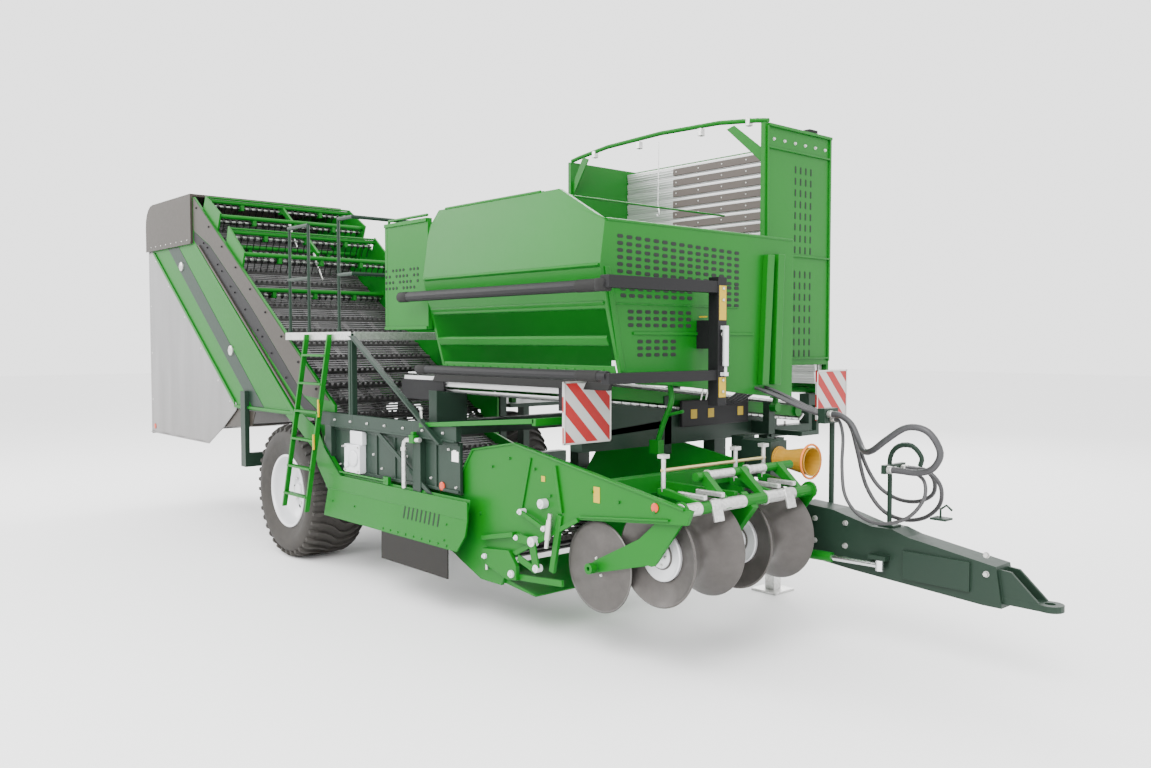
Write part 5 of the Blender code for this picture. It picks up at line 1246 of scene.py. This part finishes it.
for y0, y1, z0, z1 in ((0.26, 0.32, 1.82, 2.81), (0.41, 0.45, 1.82, 2.82)):
    ribs.append(prism([(y0, z0), (y0 + 0.08, z0), (y1 + 0.08, z1), (y1, z1)], "YZ", BUNKER_FACE,
                      3.19))
ribs.append(slab((BUNKER_FACE, -1.08, 2.195), (3.152, 0.20, 2.215)))
ribs.append(slab((BUNKER_FACE, -1.26, 2.395), (3.148, 0.02, 2.405)))
ribs.append(prism([(-1.20, 1.95), (-1.155, 1.95), (-1.30, 2.64), (-1.345, 2.64)], "YZ", BUNKER_FACE,
                  3.150))
piece("bunker_front_ribs", "chassis", GREEN, ribs, 0.003)
piece("bunker_rim", "chassis", GREEN,
      [pipe([(1.26, -1.298, 3.203), (2.44, -1.298, 3.203)], 0.010, 8),
       pipe([(2.45, -1.29, 3.198), (3.135, -1.33, 2.945)], 0.009, 8),
       pipe([(2.45, -1.285, 3.20), (2.45, 0.69, 3.20)], 0.008, 8),
       pipe([(3.135, -1.32, 2.945), (3.135, 0.69, 2.945)], 0.012, 8),
       pipe([(1.26, -1.285, 3.20), (1.26, 0.69, 3.20)], 0.008, 8)])
cover_face = -1.3313
spots = [((0.40 + 0.055 * i, cover_face, 2.60 + 0.05 * j), RIGHT,
          FORWARD) for i in range(10) for j in range(4)
         if (i + j) % 5 != 4]
# painted shade: dark slots stand for the cover's holes
repeat_on(SLOTS, "cover_holes", "chassis", HOLE_SHADE, spots, {"Length": 0.030, "Width": 0.024})
piece("cover_fold", "chassis", GREEN,
      [slab((0.385, cover_face - 0.012, 3.12), (1.04, cover_face, 3.15)),
       slab((0.385, cover_face - 0.012, 2.25), (1.04, cover_face, 2.275)),
       pipe([(0.40, -1.30, 3.155), (0.40, -1.30, 3.18), (1.0, -1.30, 3.18)], 0.012, 8)], 0.002)


# ---- Slat conveyors of the bunker floor and the unloading elevator
# Ribbed aluminium slats on chains; the unloading one has dark rubber strips in the middle.
def slat_colour(tree):
    """Bare aluminium, brushed along the slat, with faint chalky patches."""
    stretch = node(tree, "ShaderNodeMapping", {"Vector": spot_on(tree), "Scale": (0.8, 30.0, 30.0)})
    brush = noise(tree, stretch.outputs[0], 6.0, 4.0)
    return two_tone(tree, brush, (0.50, 0.50, 0.50, 1), (0.80, 0.80, 0.80, 1))


ALUMINIUM = finish("ribbed_aluminium", slat_colour, roughness=0.30, metallic=0.75,
                   edge=(0.9, 0.9, 0.9), wear=0.2, dust=0.06, grain=60.0)
STRIP_RUBBER = finish("strip_rubber", (0.085, 0.070, 0.062), roughness=0.6, metallic=0.0,
                      edge=(0.2, 0.18, 0.17), wear=0.3, dust=0.1)
SLAT_COUNT, SLAT_PITCH, SLAT_FOOT = 20, 0.105, 1.785
SLAT_REAR, SLAT_FRONT = 0.475, 2.795
slats, grips = [], []
for number in range(SLAT_COUNT):
    z = SLAT_FOOT + SLAT_PITCH * number
    slats.append(prism([(1.505, z), (1.515, z + 0.004), (1.500, z + SLAT_PITCH - 0.020),
                        (1.500, z + SLAT_PITCH - 0.006), (1.540, z + SLAT_PITCH - 0.006),
                        (1.540, z)],
                       "YZ", SLAT_REAR, SLAT_FRONT))
    for step in range(3):
        level = z + 0.018 + 0.024 * step
        slats.append(slab((SLAT_REAR, 1.5015, level), (SLAT_FRONT, 1.506, level + 0.006)))
    grips.append(prism([(1.5000, z + 0.012), (1.5052, z + 0.008), (1.5040, z + SLAT_PITCH - 0.026),
                        (1.5000, z + SLAT_PITCH - 0.030)], "YZ", 1.12, 2.34))
slats.append(slab((SLAT_REAR, 1.56, 1.78), (SLAT_FRONT, 1.615, 3.875)))
unload_floor = piece("unload_slats", "unloader", ALUMINIUM, slats)
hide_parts("unload_floor")
piece("unload_rubber_strips", "unloader", STRIP_RUBBER, grips)
spots = [((x, 1.4999, SLAT_FOOT + SLAT_PITCH * n + 0.045), RIGHT,
          FORWARD) for n in range(SLAT_COUNT)
         for x in (1.16, 1.45, 1.74, 2.03, 2.30)]
repeat_on(RIVETS, "strip_rivets", "unloader", BRIGHT_STEEL, spots, {"Radius": 0.008})
FLOOR_RIGHT, FLOOR_HEIGHT, FLOOR_SLOPE = -1.20, 1.90, -0.1077


def floor_line(y, drop):
    """Height on the bunker floor, measured down from its upper face."""
    return FLOOR_HEIGHT + FLOOR_SLOPE * (y - FLOOR_RIGHT) - drop


FLOOR_SHAFTS = [(y, floor_line(y, 0.080)) for y in (-1.122, 1.340)]
floor_slats = []
for y, z, ny, nz in belt_spots(*FLOOR_SHAFTS, 0.060, 0.092):
    ty, tz = nz, -ny
    base = [(y - ty * 0.042, z - tz * 0.042), (y + ty * 0.042, z + tz * 0.042),
            (y + ty * 0.038 + ny * 0.013, z + tz * 0.038 + nz * 0.013),
            (y - ty * 0.038 + ny * 0.013, z - tz * 0.038 + nz * 0.013)]
    floor_slats.append(prism(base, "YZ", 0.455, 2.755))
    floor_slats.append(prism([(y - ty * 0.008 + ny * 0.012, z - tz * 0.008 + nz * 0.012),
                              (y + ty * 0.008 + ny * 0.012, z + tz * 0.008 + nz * 0.012),
                              (y + ty * 0.006 + ny * 0.018, z + tz * 0.006 + nz * 0.018),
                              (y - ty * 0.006 + ny * 0.018, z - tz * 0.006 + nz * 0.018)], "YZ",
                              0.456, 2.754))
bunker_slats = piece("bunker_floor_slats", "chassis", ALUMINIUM, floor_slats)
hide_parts("bunker_floor")
floor_frame = [pipe([(0.46, y, z), (2.75, y, z)], 0.045, 20) for y, z in FLOOR_SHAFTS]
for x in (1.02, 1.8, 2.70):
    floor_frame.append(prism([(-1.17, floor_line(-1.17, 0.035)), (1.38, floor_line(1.38, 0.035)),
                              (1.38, floor_line(1.38, 0.125)), (-1.17, floor_line(-1.17, 0.125))],
                              "YZ", x, x + 0.03))
piece("bunker_floor_frame", "chassis", GREEN, floor_frame)

# ---- Covers and lips round the bunker floor's right end
# Black covers close the floor's ends, so the ribbed slats show only between them.
piece("floor_end_covers", "chassis", BLACK_STEEL,
      [slab((0.455, -1.222, 1.66), (1.10, -1.204, 1.83)),
       slab((2.54, -1.222, 1.66), (2.755, -1.204, 1.83))],
      0.004)
piece("floor_lip", "chassis", BLACK_RUBBER,
      [prism([(-1.235, 1.822), (-1.198, 1.822), (-1.178, 1.895), (-1.190, 1.898)], "YZ", 0.95,
             3.06)],
      0.003)

# ---- Marker boards and the PTO guard
# The boards carry diagonal reflective stripes in a bright steel frame.  The PTO guard is a
# yellow moulding with a rolled orange rim.
STRIPE_WIDTH = 0.105


def stripe_colour(tree):
    """Red and white diagonal bands with a little road dirt."""
    place = node(tree, "ShaderNodeSeparateXYZ", {"Vector": spot_on(tree)}).outputs
    wrapped = maths(tree, "PINGPONG", maths(tree, "ADD", place["Y"], place["Z"]), STRIPE_WIDTH)
    edge = maths(tree, "GREATER_THAN", wrapped, STRIPE_WIDTH / 2)
    return two_tone(tree, edge, (0.42, 0.42, 0.41, 1), (0.30, 0.001, 0.002, 1))


BOARD = finish("reflective_board", stripe_colour, roughness=0.5, metallic=0.0, edge=(0.6, 0.6, 0.6),
               wear=0.1, dust=0.01)
YELLOW_GUARD = finish("yellow_moulding", (0.40, 0.20, 0.006), roughness=0.42, metallic=0.0,
                      edge=(0.8, 0.6, 0.1), wear=0.3, dust=0.12, grain=120.0, depth=0.15)
ORANGE_CUP = finish("orange_moulding", (0.72, 0.17, 0.01), roughness=0.45, metallic=0.0,
                    edge=(0.8, 0.4, 0.1), wear=0.3, dust=0.1)
coat_node("marker_board_right", BOARD)
coat_node("marker_board_left", BOARD)
coat_node("pto_guard", YELLOW_GUARD)
board_edges = []
for name in ("marker_board_right", "marker_board_left"):
    low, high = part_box(name)
    x = high[0] + 0.0004
    for y0, y1, z0, z1 in ((low[1], high[1], low[2], low[2] + 0.012),
                           (low[1], high[1], high[2] - 0.012, high[2]),
                           (low[1], low[1] + 0.012, low[2], high[2]),
                           (high[1] - 0.012, high[1], low[2], high[2])):
        board_edges.append(slab((x, y0, z0), (x + 0.004, y1, z1)))
piece("board_edges", "chassis", BRIGHT_STEEL, board_edges, 0.0008)
low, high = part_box("pto_guard")
GUARD_Y, GUARD_Z = 0.32, 1.27
piece("pto_guard_rim", "chassis", ORANGE_CUP,
      [pipe([(high[0] - 0.012, GUARD_Y + 0.125 * cos(pi * i / 14),
              GUARD_Z + 0.125 * sin(pi * i / 14))
             for i in range(28)], 0.009, 8, True)])

# ---- Digger: rolled drums, ground discs, scrapers, the depth rod and the plate's fittings
# Each drum is a waisted steel roller with dished ends.  The discs have a ground edge and a hub.
ROWS = (("right", -1.035), ("left", -0.285))
DRUM_X, DRUM_Z = 3.55, 0.80
for side, centre_y in ROWS:
    body = side + "_diabolo"
    drum = [(0.0, 0.035), (0.09, 0.035), (0.11, 0.075), (0.285, 0.022), (0.318, 0.001),
            (0.3295, 0.006), (0.305, 0.045), (0.262, 0.105), (0.226, 0.165), (0.210, 0.21),
            (0.206, 0.24), (0.210, 0.27), (0.226, 0.315), (0.262, 0.375), (0.305, 0.435),
            (0.3295, 0.474), (0.318, 0.479), (0.285, 0.458), (0.11, 0.405), (0.09, 0.445),
            (0.0, 0.445)]
    roller = piece(body + "_drum", body, WORN_STEEL,
                   [lathe(drum, (DRUM_X, centre_y - 0.24, DRUM_Z), LEFT, 72)])
    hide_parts(body)
    piece(body + "_hub", body, SILVER,
          [lathe([(0.0, 0), (0.03, 0), (0.036, 0.006), (0.075, 0.018), (0.085, 0.034),
                  (0.0, 0.034)],
                 (DRUM_X, centre_y - 0.239, DRUM_Z), LEFT, 32)])
    hub_spots = [((DRUM_X + 0.062 * cos(pi * i / 3), centre_y - 0.224,
                   DRUM_Z + 0.062 * sin(pi * i / 3)), RIGHT, FORWARD) for i in range(6)]
    repeat_on(BOLTS, body + "_bolts", body, BRIGHT_STEEL, hub_spots,
              {"Washer Radius": 0.010, "Head Radius": 0.008, "Head Depth": 0.006})
    body = side + "_coulter"
    low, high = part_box(body)
    width, middle_x, middle_z = high[1] - low[1], (low[0] + high[0]) / 2, (low[2] + high[2]) / 2
    reach = (high[2] - low[2]) / 2
    disc = [(0.0, 0), (0.085, 0), (0.095, 0.28 * width), (reach - 0.035, 0.36 * width),
            (reach - 0.0005, 0.5 * width), (reach - 0.035, 0.64 * width), (0.095, 0.72 * width),
            (0.085, width), (0.0, width)]
    blade = piece(body + "_disc", body, WORN_STEEL,
                  [lathe(disc, (middle_x, low[1], middle_z), LEFT, 72)])
    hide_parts(body)
    disc_spots = [((middle_x + 0.058 * cos(pi * i / 2 + 0.4), low[1] - 0.0002,
                    middle_z + 0.058 * sin(pi * i / 2 + 0.4)),
                   RIGHT, FORWARD) for i in range(4)]
    repeat_on(BOLTS, body + "_bolts", body, BRIGHT_STEEL, disc_spots,
              {"Washer Radius": 0.011, "Head Radius": 0.009, "Head Depth": 0.006})
piece("depth_rod", "row_frame", BRASS, [pipe([(3.50, -1.175, 1.327), (3.50, -0.115, 1.327)], 0.012,
                                             12)])
scrapers = [prism([(3.815, 1.165), (3.835, 1.165), (3.868, 1.035), (3.852, 1.03)], "XZ", y - 0.045,
                  y + 0.045)
            for side, y in ROWS]
scrapers += [slab((3.60, y - 0.015, 1.17), (3.82, y + 0.015, 1.20)) for y in (-1.12, -0.95, -0.37,
      -0.20)]
piece("drum_scrapers", "row_frame", GALVANISED, scrapers, 0.003)
digger_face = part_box("digger_side_right")[0][1] - 0.0004
spots = [((x, digger_face, z), RIGHT, FORWARD) for x, z in
         ((1.10, 0.92), (1.30, 0.80), (1.55, 0.62), (1.80, 0.85), (2.00, 0.48), (2.16, 1.30),
          (2.45, 1.25), (2.62, 1.08), (3.05, 1.16), (3.30, 1.12), (3.62, 1.10), (1.95, 1.22))]
repeat_on(BOLTS, "digger_plate_bolts", "digger", GREEN, spots,
          {"Washer Radius": 0.012, "Head Radius": 0.010})
piece("digger_plate_fold", "digger", GREEN,
      [pipe([(1.46, digger_face - 0.004, 1.01), (1.70, digger_face - 0.004, 1.325),
             (2.21, digger_face - 0.004, 1.412), (3.86, digger_face - 0.004, 1.142)], 0.009, 8),
       prism([(2.20, 0.62), (2.24, 0.60), (2.92, 0.94), (2.90, 0.965)], "XZ", digger_face - 0.014,
             digger_face)])
piece("digger_labels", "digger", YELLOW_LABEL,
      [slab((3.06, digger_face - 0.002, 1.09), (3.12, digger_face, 1.195)),
       slab((2.52, digger_face - 0.002, 1.17), (2.56, digger_face, 1.21))])
piece("digger_reflector", "digger", ORANGE_LENS,
      [boss(0.030, 0.006, 0.024, 0.010, (3.62, digger_face - 0.001, 1.125), RIGHT, 24)])

# ---- Unloading elevator front, its lifting hoop, and the side guard's ends
# The front wall has two blocks of upright slots and folded ledges.  A wire rope hangs at the hoop.
TROUGH_FACE = 2.8394
spots = [((TROUGH_FACE, 1.14 + 0.073 * i, z0 + 0.095 * j), FORWARD,
          UP) for i in range(4) for j in range(8)
         for z0 in (2.92, 2.05)]
# painted shade: dark slots stand for the front wall's holes
repeat_on(SLOTS, "trough_slots", "unloader", HOLE_SHADE, spots, {"Length": 0.062, "Width": 0.020})
ledges = [slab((TROUGH_FACE, 0.76, z), (TROUGH_FACE + 0.016, 1.64, z + 0.014)) for z in (3.72, 2.86,
      2.0)]
ledges += [slab((TROUGH_FACE, 0.76, 3.895), (TROUGH_FACE + 0.022, 1.645, 3.918)),
           slab((TROUGH_FACE, 1.62, 1.98), (TROUGH_FACE + 0.014, 1.645, 3.9)),
           slab((TROUGH_FACE, 0.745, 2.0), (TROUGH_FACE + 0.014, 0.765, 3.9))]
piece("trough_front_folds", "unloader", GREEN, ledges, 0.002)
spots = row((TROUGH_FACE, 0.84, 3.80), (TROUGH_FACE, 1.56, 3.80), 6, FORWARD)
spots += row((TROUGH_FACE, 0.84, 2.78), (TROUGH_FACE, 1.06, 2.78), 3, FORWARD)
repeat_on(BOLTS, "trough_bolts", "unloader", BRIGHT_STEEL, spots)
piece("hoop_clamps", "unloader", GALVANISED,
      [slab((x, 0.745, 3.925), (x + 0.04, 0.795, 3.99)) for x in (0.75, 1.35, 2.1, 2.62)], 0.003)
piece("hoop_wire_rope", "unloader", GALVANISED,
      [pipe([(1.62, 0.765, 3.95), (1.62, 0.762, 3.62), (1.62, 0.76, 3.36)], 0.004, 8),
       pipe([(1.62, 0.76, 3.36), (1.635, 0.76, 3.33), (1.635, 0.76, 3.30), (1.62, 0.76, 3.285),
             (1.605, 0.76, 3.30)],
            0.007, 8)])
caps = []
for x, z, radius in ((0.835, 2.51, 0.0425), (1.095, 1.93, 0.0375)):
    caps.append(lathe([(0, 0), (radius - 0.006, 0), (radius, 0.008), (radius, 0.13),
                       (radius - 0.003, 0.135), (0, 0.135)],
                      (x, -1.462, z), FORWARD, 28))
for z, radius in ((2.51, 0.0425), (1.93, 0.0375)):
    caps.append(lathe([(radius - 0.004, 0), (radius, 0.004), (radius, 0.20),
                       (radius - 0.004, 0.204)],
                      (3.02, -1.462, z), FORWARD, 28, True))
piece("guard_tube_sleeves", "chassis", BLACK_RUBBER, caps, smooth=40)
POST_FACE = 3.3455
piece("guard_post_labels", "chassis", YELLOW_LABEL,
      [slab((POST_FACE, -0.437, z), (3.348, -0.363, z + height)) for z,
       height in ((2.30, 0.24), (1.76, 0.14))]
      + [slab((3.17, -0.4458, 2.32), (3.245, -0.4454, 2.33))])
piece("guard_post_strut", "chassis", SILVER,
      [pipe([(3.375, -0.40, 1.98), (3.375, -0.40, 2.24)], 0.021, 18),
       pipe([(3.375, -0.40, 1.92), (3.375, -0.40, 1.99)], 0.010, 12),
       slab((POST_FACE, -0.42, 1.91), (3.385, -0.38, 1.935)),
       slab((POST_FACE, -0.42, 2.235), (3.385, -0.38, 2.26))])
piece("guard_arm_knob", "chassis", BLACK_RUBBER,
      [lathe([(0, 0), (0.05, 0), (0.056, 0.01), (0.056, 0.07), (0.05, 0.08), (0, 0.08)],
             (3.255, -1.462, 2.47), UP, 24)])
post_spots = [((POST_FACE, -0.40, z), FORWARD, UP) for z in (2.52, 2.44, 2.20, 1.88, 1.80)]
repeat_on(BOLTS, "guard_post_bolts", "chassis", BRIGHT_STEEL, post_spots)

# ---- Front cross panel, drawbar fittings, and hoses from the machine to the carrier
# Four hoses leave the front panel and run to the carrier on the drawbar, bending at its pin.
piece("front_cross_panel", "chassis", BLACK_STEEL, [slab((2.765, -0.20, 1.50), (2.79, 0.60, 1.70))],
      0.004)
piece("front_panel_labels", "chassis", YELLOW_LABEL,
      [slab((2.7904, y, 1.56), (2.7915, y + 0.07, 1.63)) for y in (-0.10, 0.10, 0.46)])
piece("front_levers", "chassis", BRIGHT_STEEL,
      [pipe([(2.80, y, 1.70), (2.83, y, 1.80), (2.82, y, 1.86)], 0.007, 8) for y in (0.0, 0.06,
            0.12)]
      + [ball((2.82, y, 1.87), 0.014) for y in (0.0, 0.06, 0.12)])
feeds = []
for number, (y0, z0) in enumerate(((0.22, 1.80), (0.28, 1.79), (0.34, 1.80), (0.40, 1.78))):
    y1 = 0.41 + 0.035 * number
    feeds.append(pipe(smooth_route([(2.79, y0, 1.66), (2.90, y0, 1.70), (3.08, y0 + 0.01, z0),
                                    (3.26, y0 + 0.04, z0 - 0.04), (3.44, y1 - 0.03, 1.66),
                                    (3.58, y1, 1.615), (3.628, y1, 1.61)], 30), 0.0125, 10))
feed = piece("front_feed_hoses", "chassis", HOSE_RUBBER, feeds, ride=False)
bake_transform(feed)
DRAWBAR_Y, DRAWBAR_HALF_WIDTH = 0.32, 0.1004
DRAW_SIDE = DRAWBAR_Y - DRAWBAR_HALF_WIDTH
spots = [((x, DRAW_SIDE, z), RIGHT, FORWARD) for x, z in
         ((3.70, 0.72), (3.70, 0.88), (3.95, 0.72), (3.95, 0.88), (4.96, 0.70), (4.96, 0.82))]
repeat_on(BOLTS, "drawbar_bolts", "drawbar", BRIGHT_STEEL, spots,
          {"Washer Radius": 0.020, "Head Radius": 0.016,
                                                                 "Head Depth": 0.012})
piece("drawbar_top_bracket", "drawbar", DARK_GREEN,
      [slab((4.55, 0.27, 0.9805), (4.66, 0.37, 0.995)),
       pipe([(4.60, 0.32, 0.99), (4.60, 0.32, 1.05),
                                                            (4.64, 0.32, 1.08), (4.68, 0.32, 1.05)],
                                                            0.008, 8)],
      0.002)
piece("jack_crank", "chassis", BRIGHT_STEEL,
      [pipe([(2.66, 1.12, 1.33), (2.66, 1.12, 1.37), (2.66, 1.26, 1.38), (2.66, 1.27, 1.42),
             (2.66, 1.27, 1.46)],
            0.010, 10)])
piece("depth_lever", "chassis", GREEN,
      [pipe(smooth_route([(2.90, -0.60, 1.38), (2.97, -0.60, 1.56), (3.05, -0.60, 1.73),
                          (3.03, -0.60, 1.86)], 12), 0.020, 12),
       slab((2.86, -0.63, 1.34), (2.95, -0.57, 1.44)),
       pipe([(2.99, -0.60, 1.62), (3.16, -0.60, 1.66)], 0.012, 10)])
piece("front_support_arms", "chassis", DARK_GREEN,
      [prism([(-1.20, 1.50), (-1.20, 1.46), (-0.34, 1.50), (-0.34, 1.56)], "YZ", 2.70, 2.74),
       slab((2.68, -0.34, 1.30), (2.74, -0.26, 1.74))], 0.003)
piece("hoop_end_brackets", "unloader", GREEN,
      [prism([(0.48, 3.60), (0.70, 3.92), (0.62, 3.95), (0.46, 3.70)], "XZ", 0.745, 0.757),
       prism([(2.80, 3.60), (2.42, 3.93), (2.50, 3.95), (2.82, 3.70)], "XZ", 0.745, 0.757)], 0.002)
piece("work_lamp", "unloader", BLACK_RUBBER,
      [slab((2.66, 1.48, 3.92), (2.74, 1.60, 3.99)), slab((2.69, 1.52, 3.90), (2.71, 1.56, 3.93))],
      0.006)

# ---- Digger plate linkage, rubber cleaning stack, and the row frame's posts and sleeves
# The plate is folded along two lines.  Below it hang the share's pivoted arms and its
# bright tension strut.  Bright sleeves, posts and white hub dishes dress the row frame.
LINK_Y = digger_face - 0.030
ROW_SLEEVE, ROW_SLEEVE_HIGH = 0.0412, 0.0312
ROW_POSTS = (-1.16, -0.44, -0.13)


def flat_bar(start, end, width, y_low, y_high):
    """A straight flat bar between two places seen from the side."""
    run = Vector((end[0] - start[0], end[1] - start[1])).normalized()
    across = Vector((-run.y, run.x)) * (width / 2)
    corners = [(start[0] + across.x, start[1] + across.y),
               (start[0] - across.x, start[1] - across.y), (end[0] - across.x, end[1] - across.y),
               (end[0] + across.x, end[1] + across.y)]
    return prism(corners, "XZ", y_low, y_high)


arms = [flat_bar((2.405, 1.325), (2.301, 0.94), 0.018, digger_face - 0.012, digger_face),
        flat_bar((2.678, 1.296), (2.746, 0.975), 0.022, digger_face - 0.018, digger_face),
        flat_bar((2.93, 0.975), (3.74, 1.062), 0.014, digger_face - 0.016, digger_face),
        flat_bar((1.86, 0.678), (2.235, 0.755), 0.035, digger_face - 0.040, digger_face),
        prism([(1.86, 0.60), (2.18, 0.63), (2.27, 0.53), (2.27, 0.425), (2.16, 0.415),
               (1.90, 0.48)], "XZ",
              digger_face - 0.034, digger_face),
        flat_bar((2.285, 0.742), (2.458, 0.738), 0.060, LINK_Y - 0.014, LINK_Y),
        flat_bar((2.458, 0.738), (2.507, 0.556), 0.070, LINK_Y - 0.014, LINK_Y),
        flat_bar((2.505, 0.540), (2.30, 0.60), 0.050, LINK_Y - 0.014, LINK_Y),
        flat_bar((2.331, 0.935), (2.593, 0.851), 0.032, LINK_Y - 0.018, LINK_Y),
        flat_bar((2.728, 0.96), (2.640, 0.55), 0.050, digger_face - 0.016, digger_face + 0.012),
        flat_bar((2.27, 0.445), (2.74, 0.485), 0.045, digger_face - 0.004, digger_face + 0.020)]
piece("share_arms", "digger", GREEN, arms, 0.003)
pins = []
for x, z, radius in ((2.565, 1.021, 0.034), (2.458, 0.738, 0.036), (2.507, 0.556, 0.028),
                     (2.223, 0.467, 0.028), (2.285, 0.742, 0.020), (1.90, 0.545, 0.020),
                     (2.331, 0.935, 0.022), (2.593, 0.851, 0.020)):
    pins.append(lathe([(0, 0), (radius, 0), (radius, 0.050), (radius - 0.004, 0.054),
                       (radius * 0.5, 0.054), (radius * 0.5, 0.064), (0, 0.064)],
                       (x, digger_face, z), RIGHT, 24))
piece("share_arm_pins", "digger", SILVER, pins)
piece("tension_strut", "digger", BRIGHT_STEEL,
      [pipe([(2.664, LINK_Y - 0.012, 0.965), (2.621, LINK_Y - 0.012, 0.72)], 0.015, 14),
       pipe([(2.656, LINK_Y - 0.012, 0.92), (2.632, LINK_Y - 0.012, 0.78)], 0.021, 16),
       pipe([(1.90, digger_face - 0.02, 0.56), (1.90, digger_face - 0.02, 0.44)], 0.012, 10)])
STACK_COUNT, STACK_PITCH = 14, 0.028
stack = []
for number in range(STACK_COUNT):
    z = 0.57 + STACK_PITCH * number
    x = 2.73 + 0.05 * sin(pi * number / (STACK_COUNT - 1))
    stack.append(slab((x, -1.275, z), (x + 0.16, -1.16, z + 0.020)))
stack.append(slab((2.80, -1.25, 0.56), (2.84, -1.19, 0.98)))
piece("rubber_stack", "digger", BLACK_RUBBER, stack, 0.004)
sleeves = []
for centre_x, centre_z, radius, spans in ((3.80, 1.12, ROW_SLEEVE,
                                           ((-1.33, -1.16), (-1.02, -0.73), (-0.52, -0.20))),
                                          (3.62, 1.28, ROW_SLEEVE_HIGH,
                                           ((-0.88, -0.62), (-0.48, -0.28)))):
    for y0, y1 in spans:
        length = y1 - y0
        sleeves.append(lathe([(radius - 0.006, 0), (radius, 0.004), (radius, length - 0.004),
                              (radius - 0.006, length)],
                             (centre_x, y0, centre_z), LEFT, 28, True))
        sleeves.append(collar(radius - 0.004, radius + 0.007, 0.018, (centre_x, y0, centre_z), LEFT,
                              28))
for y in ROW_POSTS:
    sleeves.append(pipe([(3.50, y, 1.19), (3.50, y, 1.42)], 0.015, 12))
    sleeves.append(slab((3.475, y - 0.03, 1.405), (3.525, y + 0.03, 1.43)))
piece("row_post_arms", "row_frame", GREEN,
      [prism([(3.46, 1.17), (3.78, 1.135), (3.80, 1.165), (3.53, 1.215), (3.46, 1.21)], "XZ",
             y - 0.014, y + 0.014)
       for y in ROW_POSTS], 0.003)
piece("row_bright_sleeves", "row_frame", GALVANISED, sleeves)
for side, centre_y in ROWS:
    piece(side + "_drum_dish", side + "_diabolo", SILVER,
          [lathe([(0, 0.026), (0.035, 0.026), (0.05, 0.042), (0.14, 0.046), (0.160, 0.034),
                  (0.168, 0.040), (0.166, 0.070), (0, 0.085)], (DRUM_X, centre_y - 0.24, DRUM_Z),
                  LEFT, 48)])
piece("coulter_hub_rings", "row_frame", GREEN,
      [collar(0.014, 0.036, 0.05, (3.05, -1.352, 0.65), RIGHT, 24)])

# ---- Rear lamps and the hood's rivets
# Red lamps on black plates sit at the curtain's foot.  Rivets hold the hood's rear and left edge.
RED_LENS = finish("red_lens", (0.30, 0.002, 0.002), roughness=0.2, wear=0.0, dust=0.0, coat=0.6)
CURTAIN_BACK = -5.376
lamps, mounts = [], []
for y in (-1.24, 0.31):
    lamps.append(boss(0.045, 0.007, 0.036, 0.012, (CURTAIN_BACK, y, 1.16), REAR, 28))
    mounts.append(slab((CURTAIN_BACK - 0.003, y - 0.06, 1.09),
                       (CURTAIN_BACK + 0.002, y + 0.06, 1.30)))
    lamps.append(lathe([(0, 0), (0.028, 0), (0.028, 0.007), (0, 0.009)],
                       (CURTAIN_BACK - 0.002, y, 1.255), REAR, 24))
piece("rear_lamps", "chassis", RED_LENS, lamps)
piece("rear_lamp_plates", "chassis", BLACK_STEEL, mounts, 0.001)
spots = row((-5.372, -1.30, 3.36), (-5.372, 0.36, 3.36), 9, REAR)
spots += row((-4.0, 0.5107, 3.36), (-5.2, 0.5107, 3.36), 7, LEFT)
repeat_on(RIVETS, "hood_rear_rivets", "chassis", BRIGHT_STEEL, spots, {"Radius": 0.009})
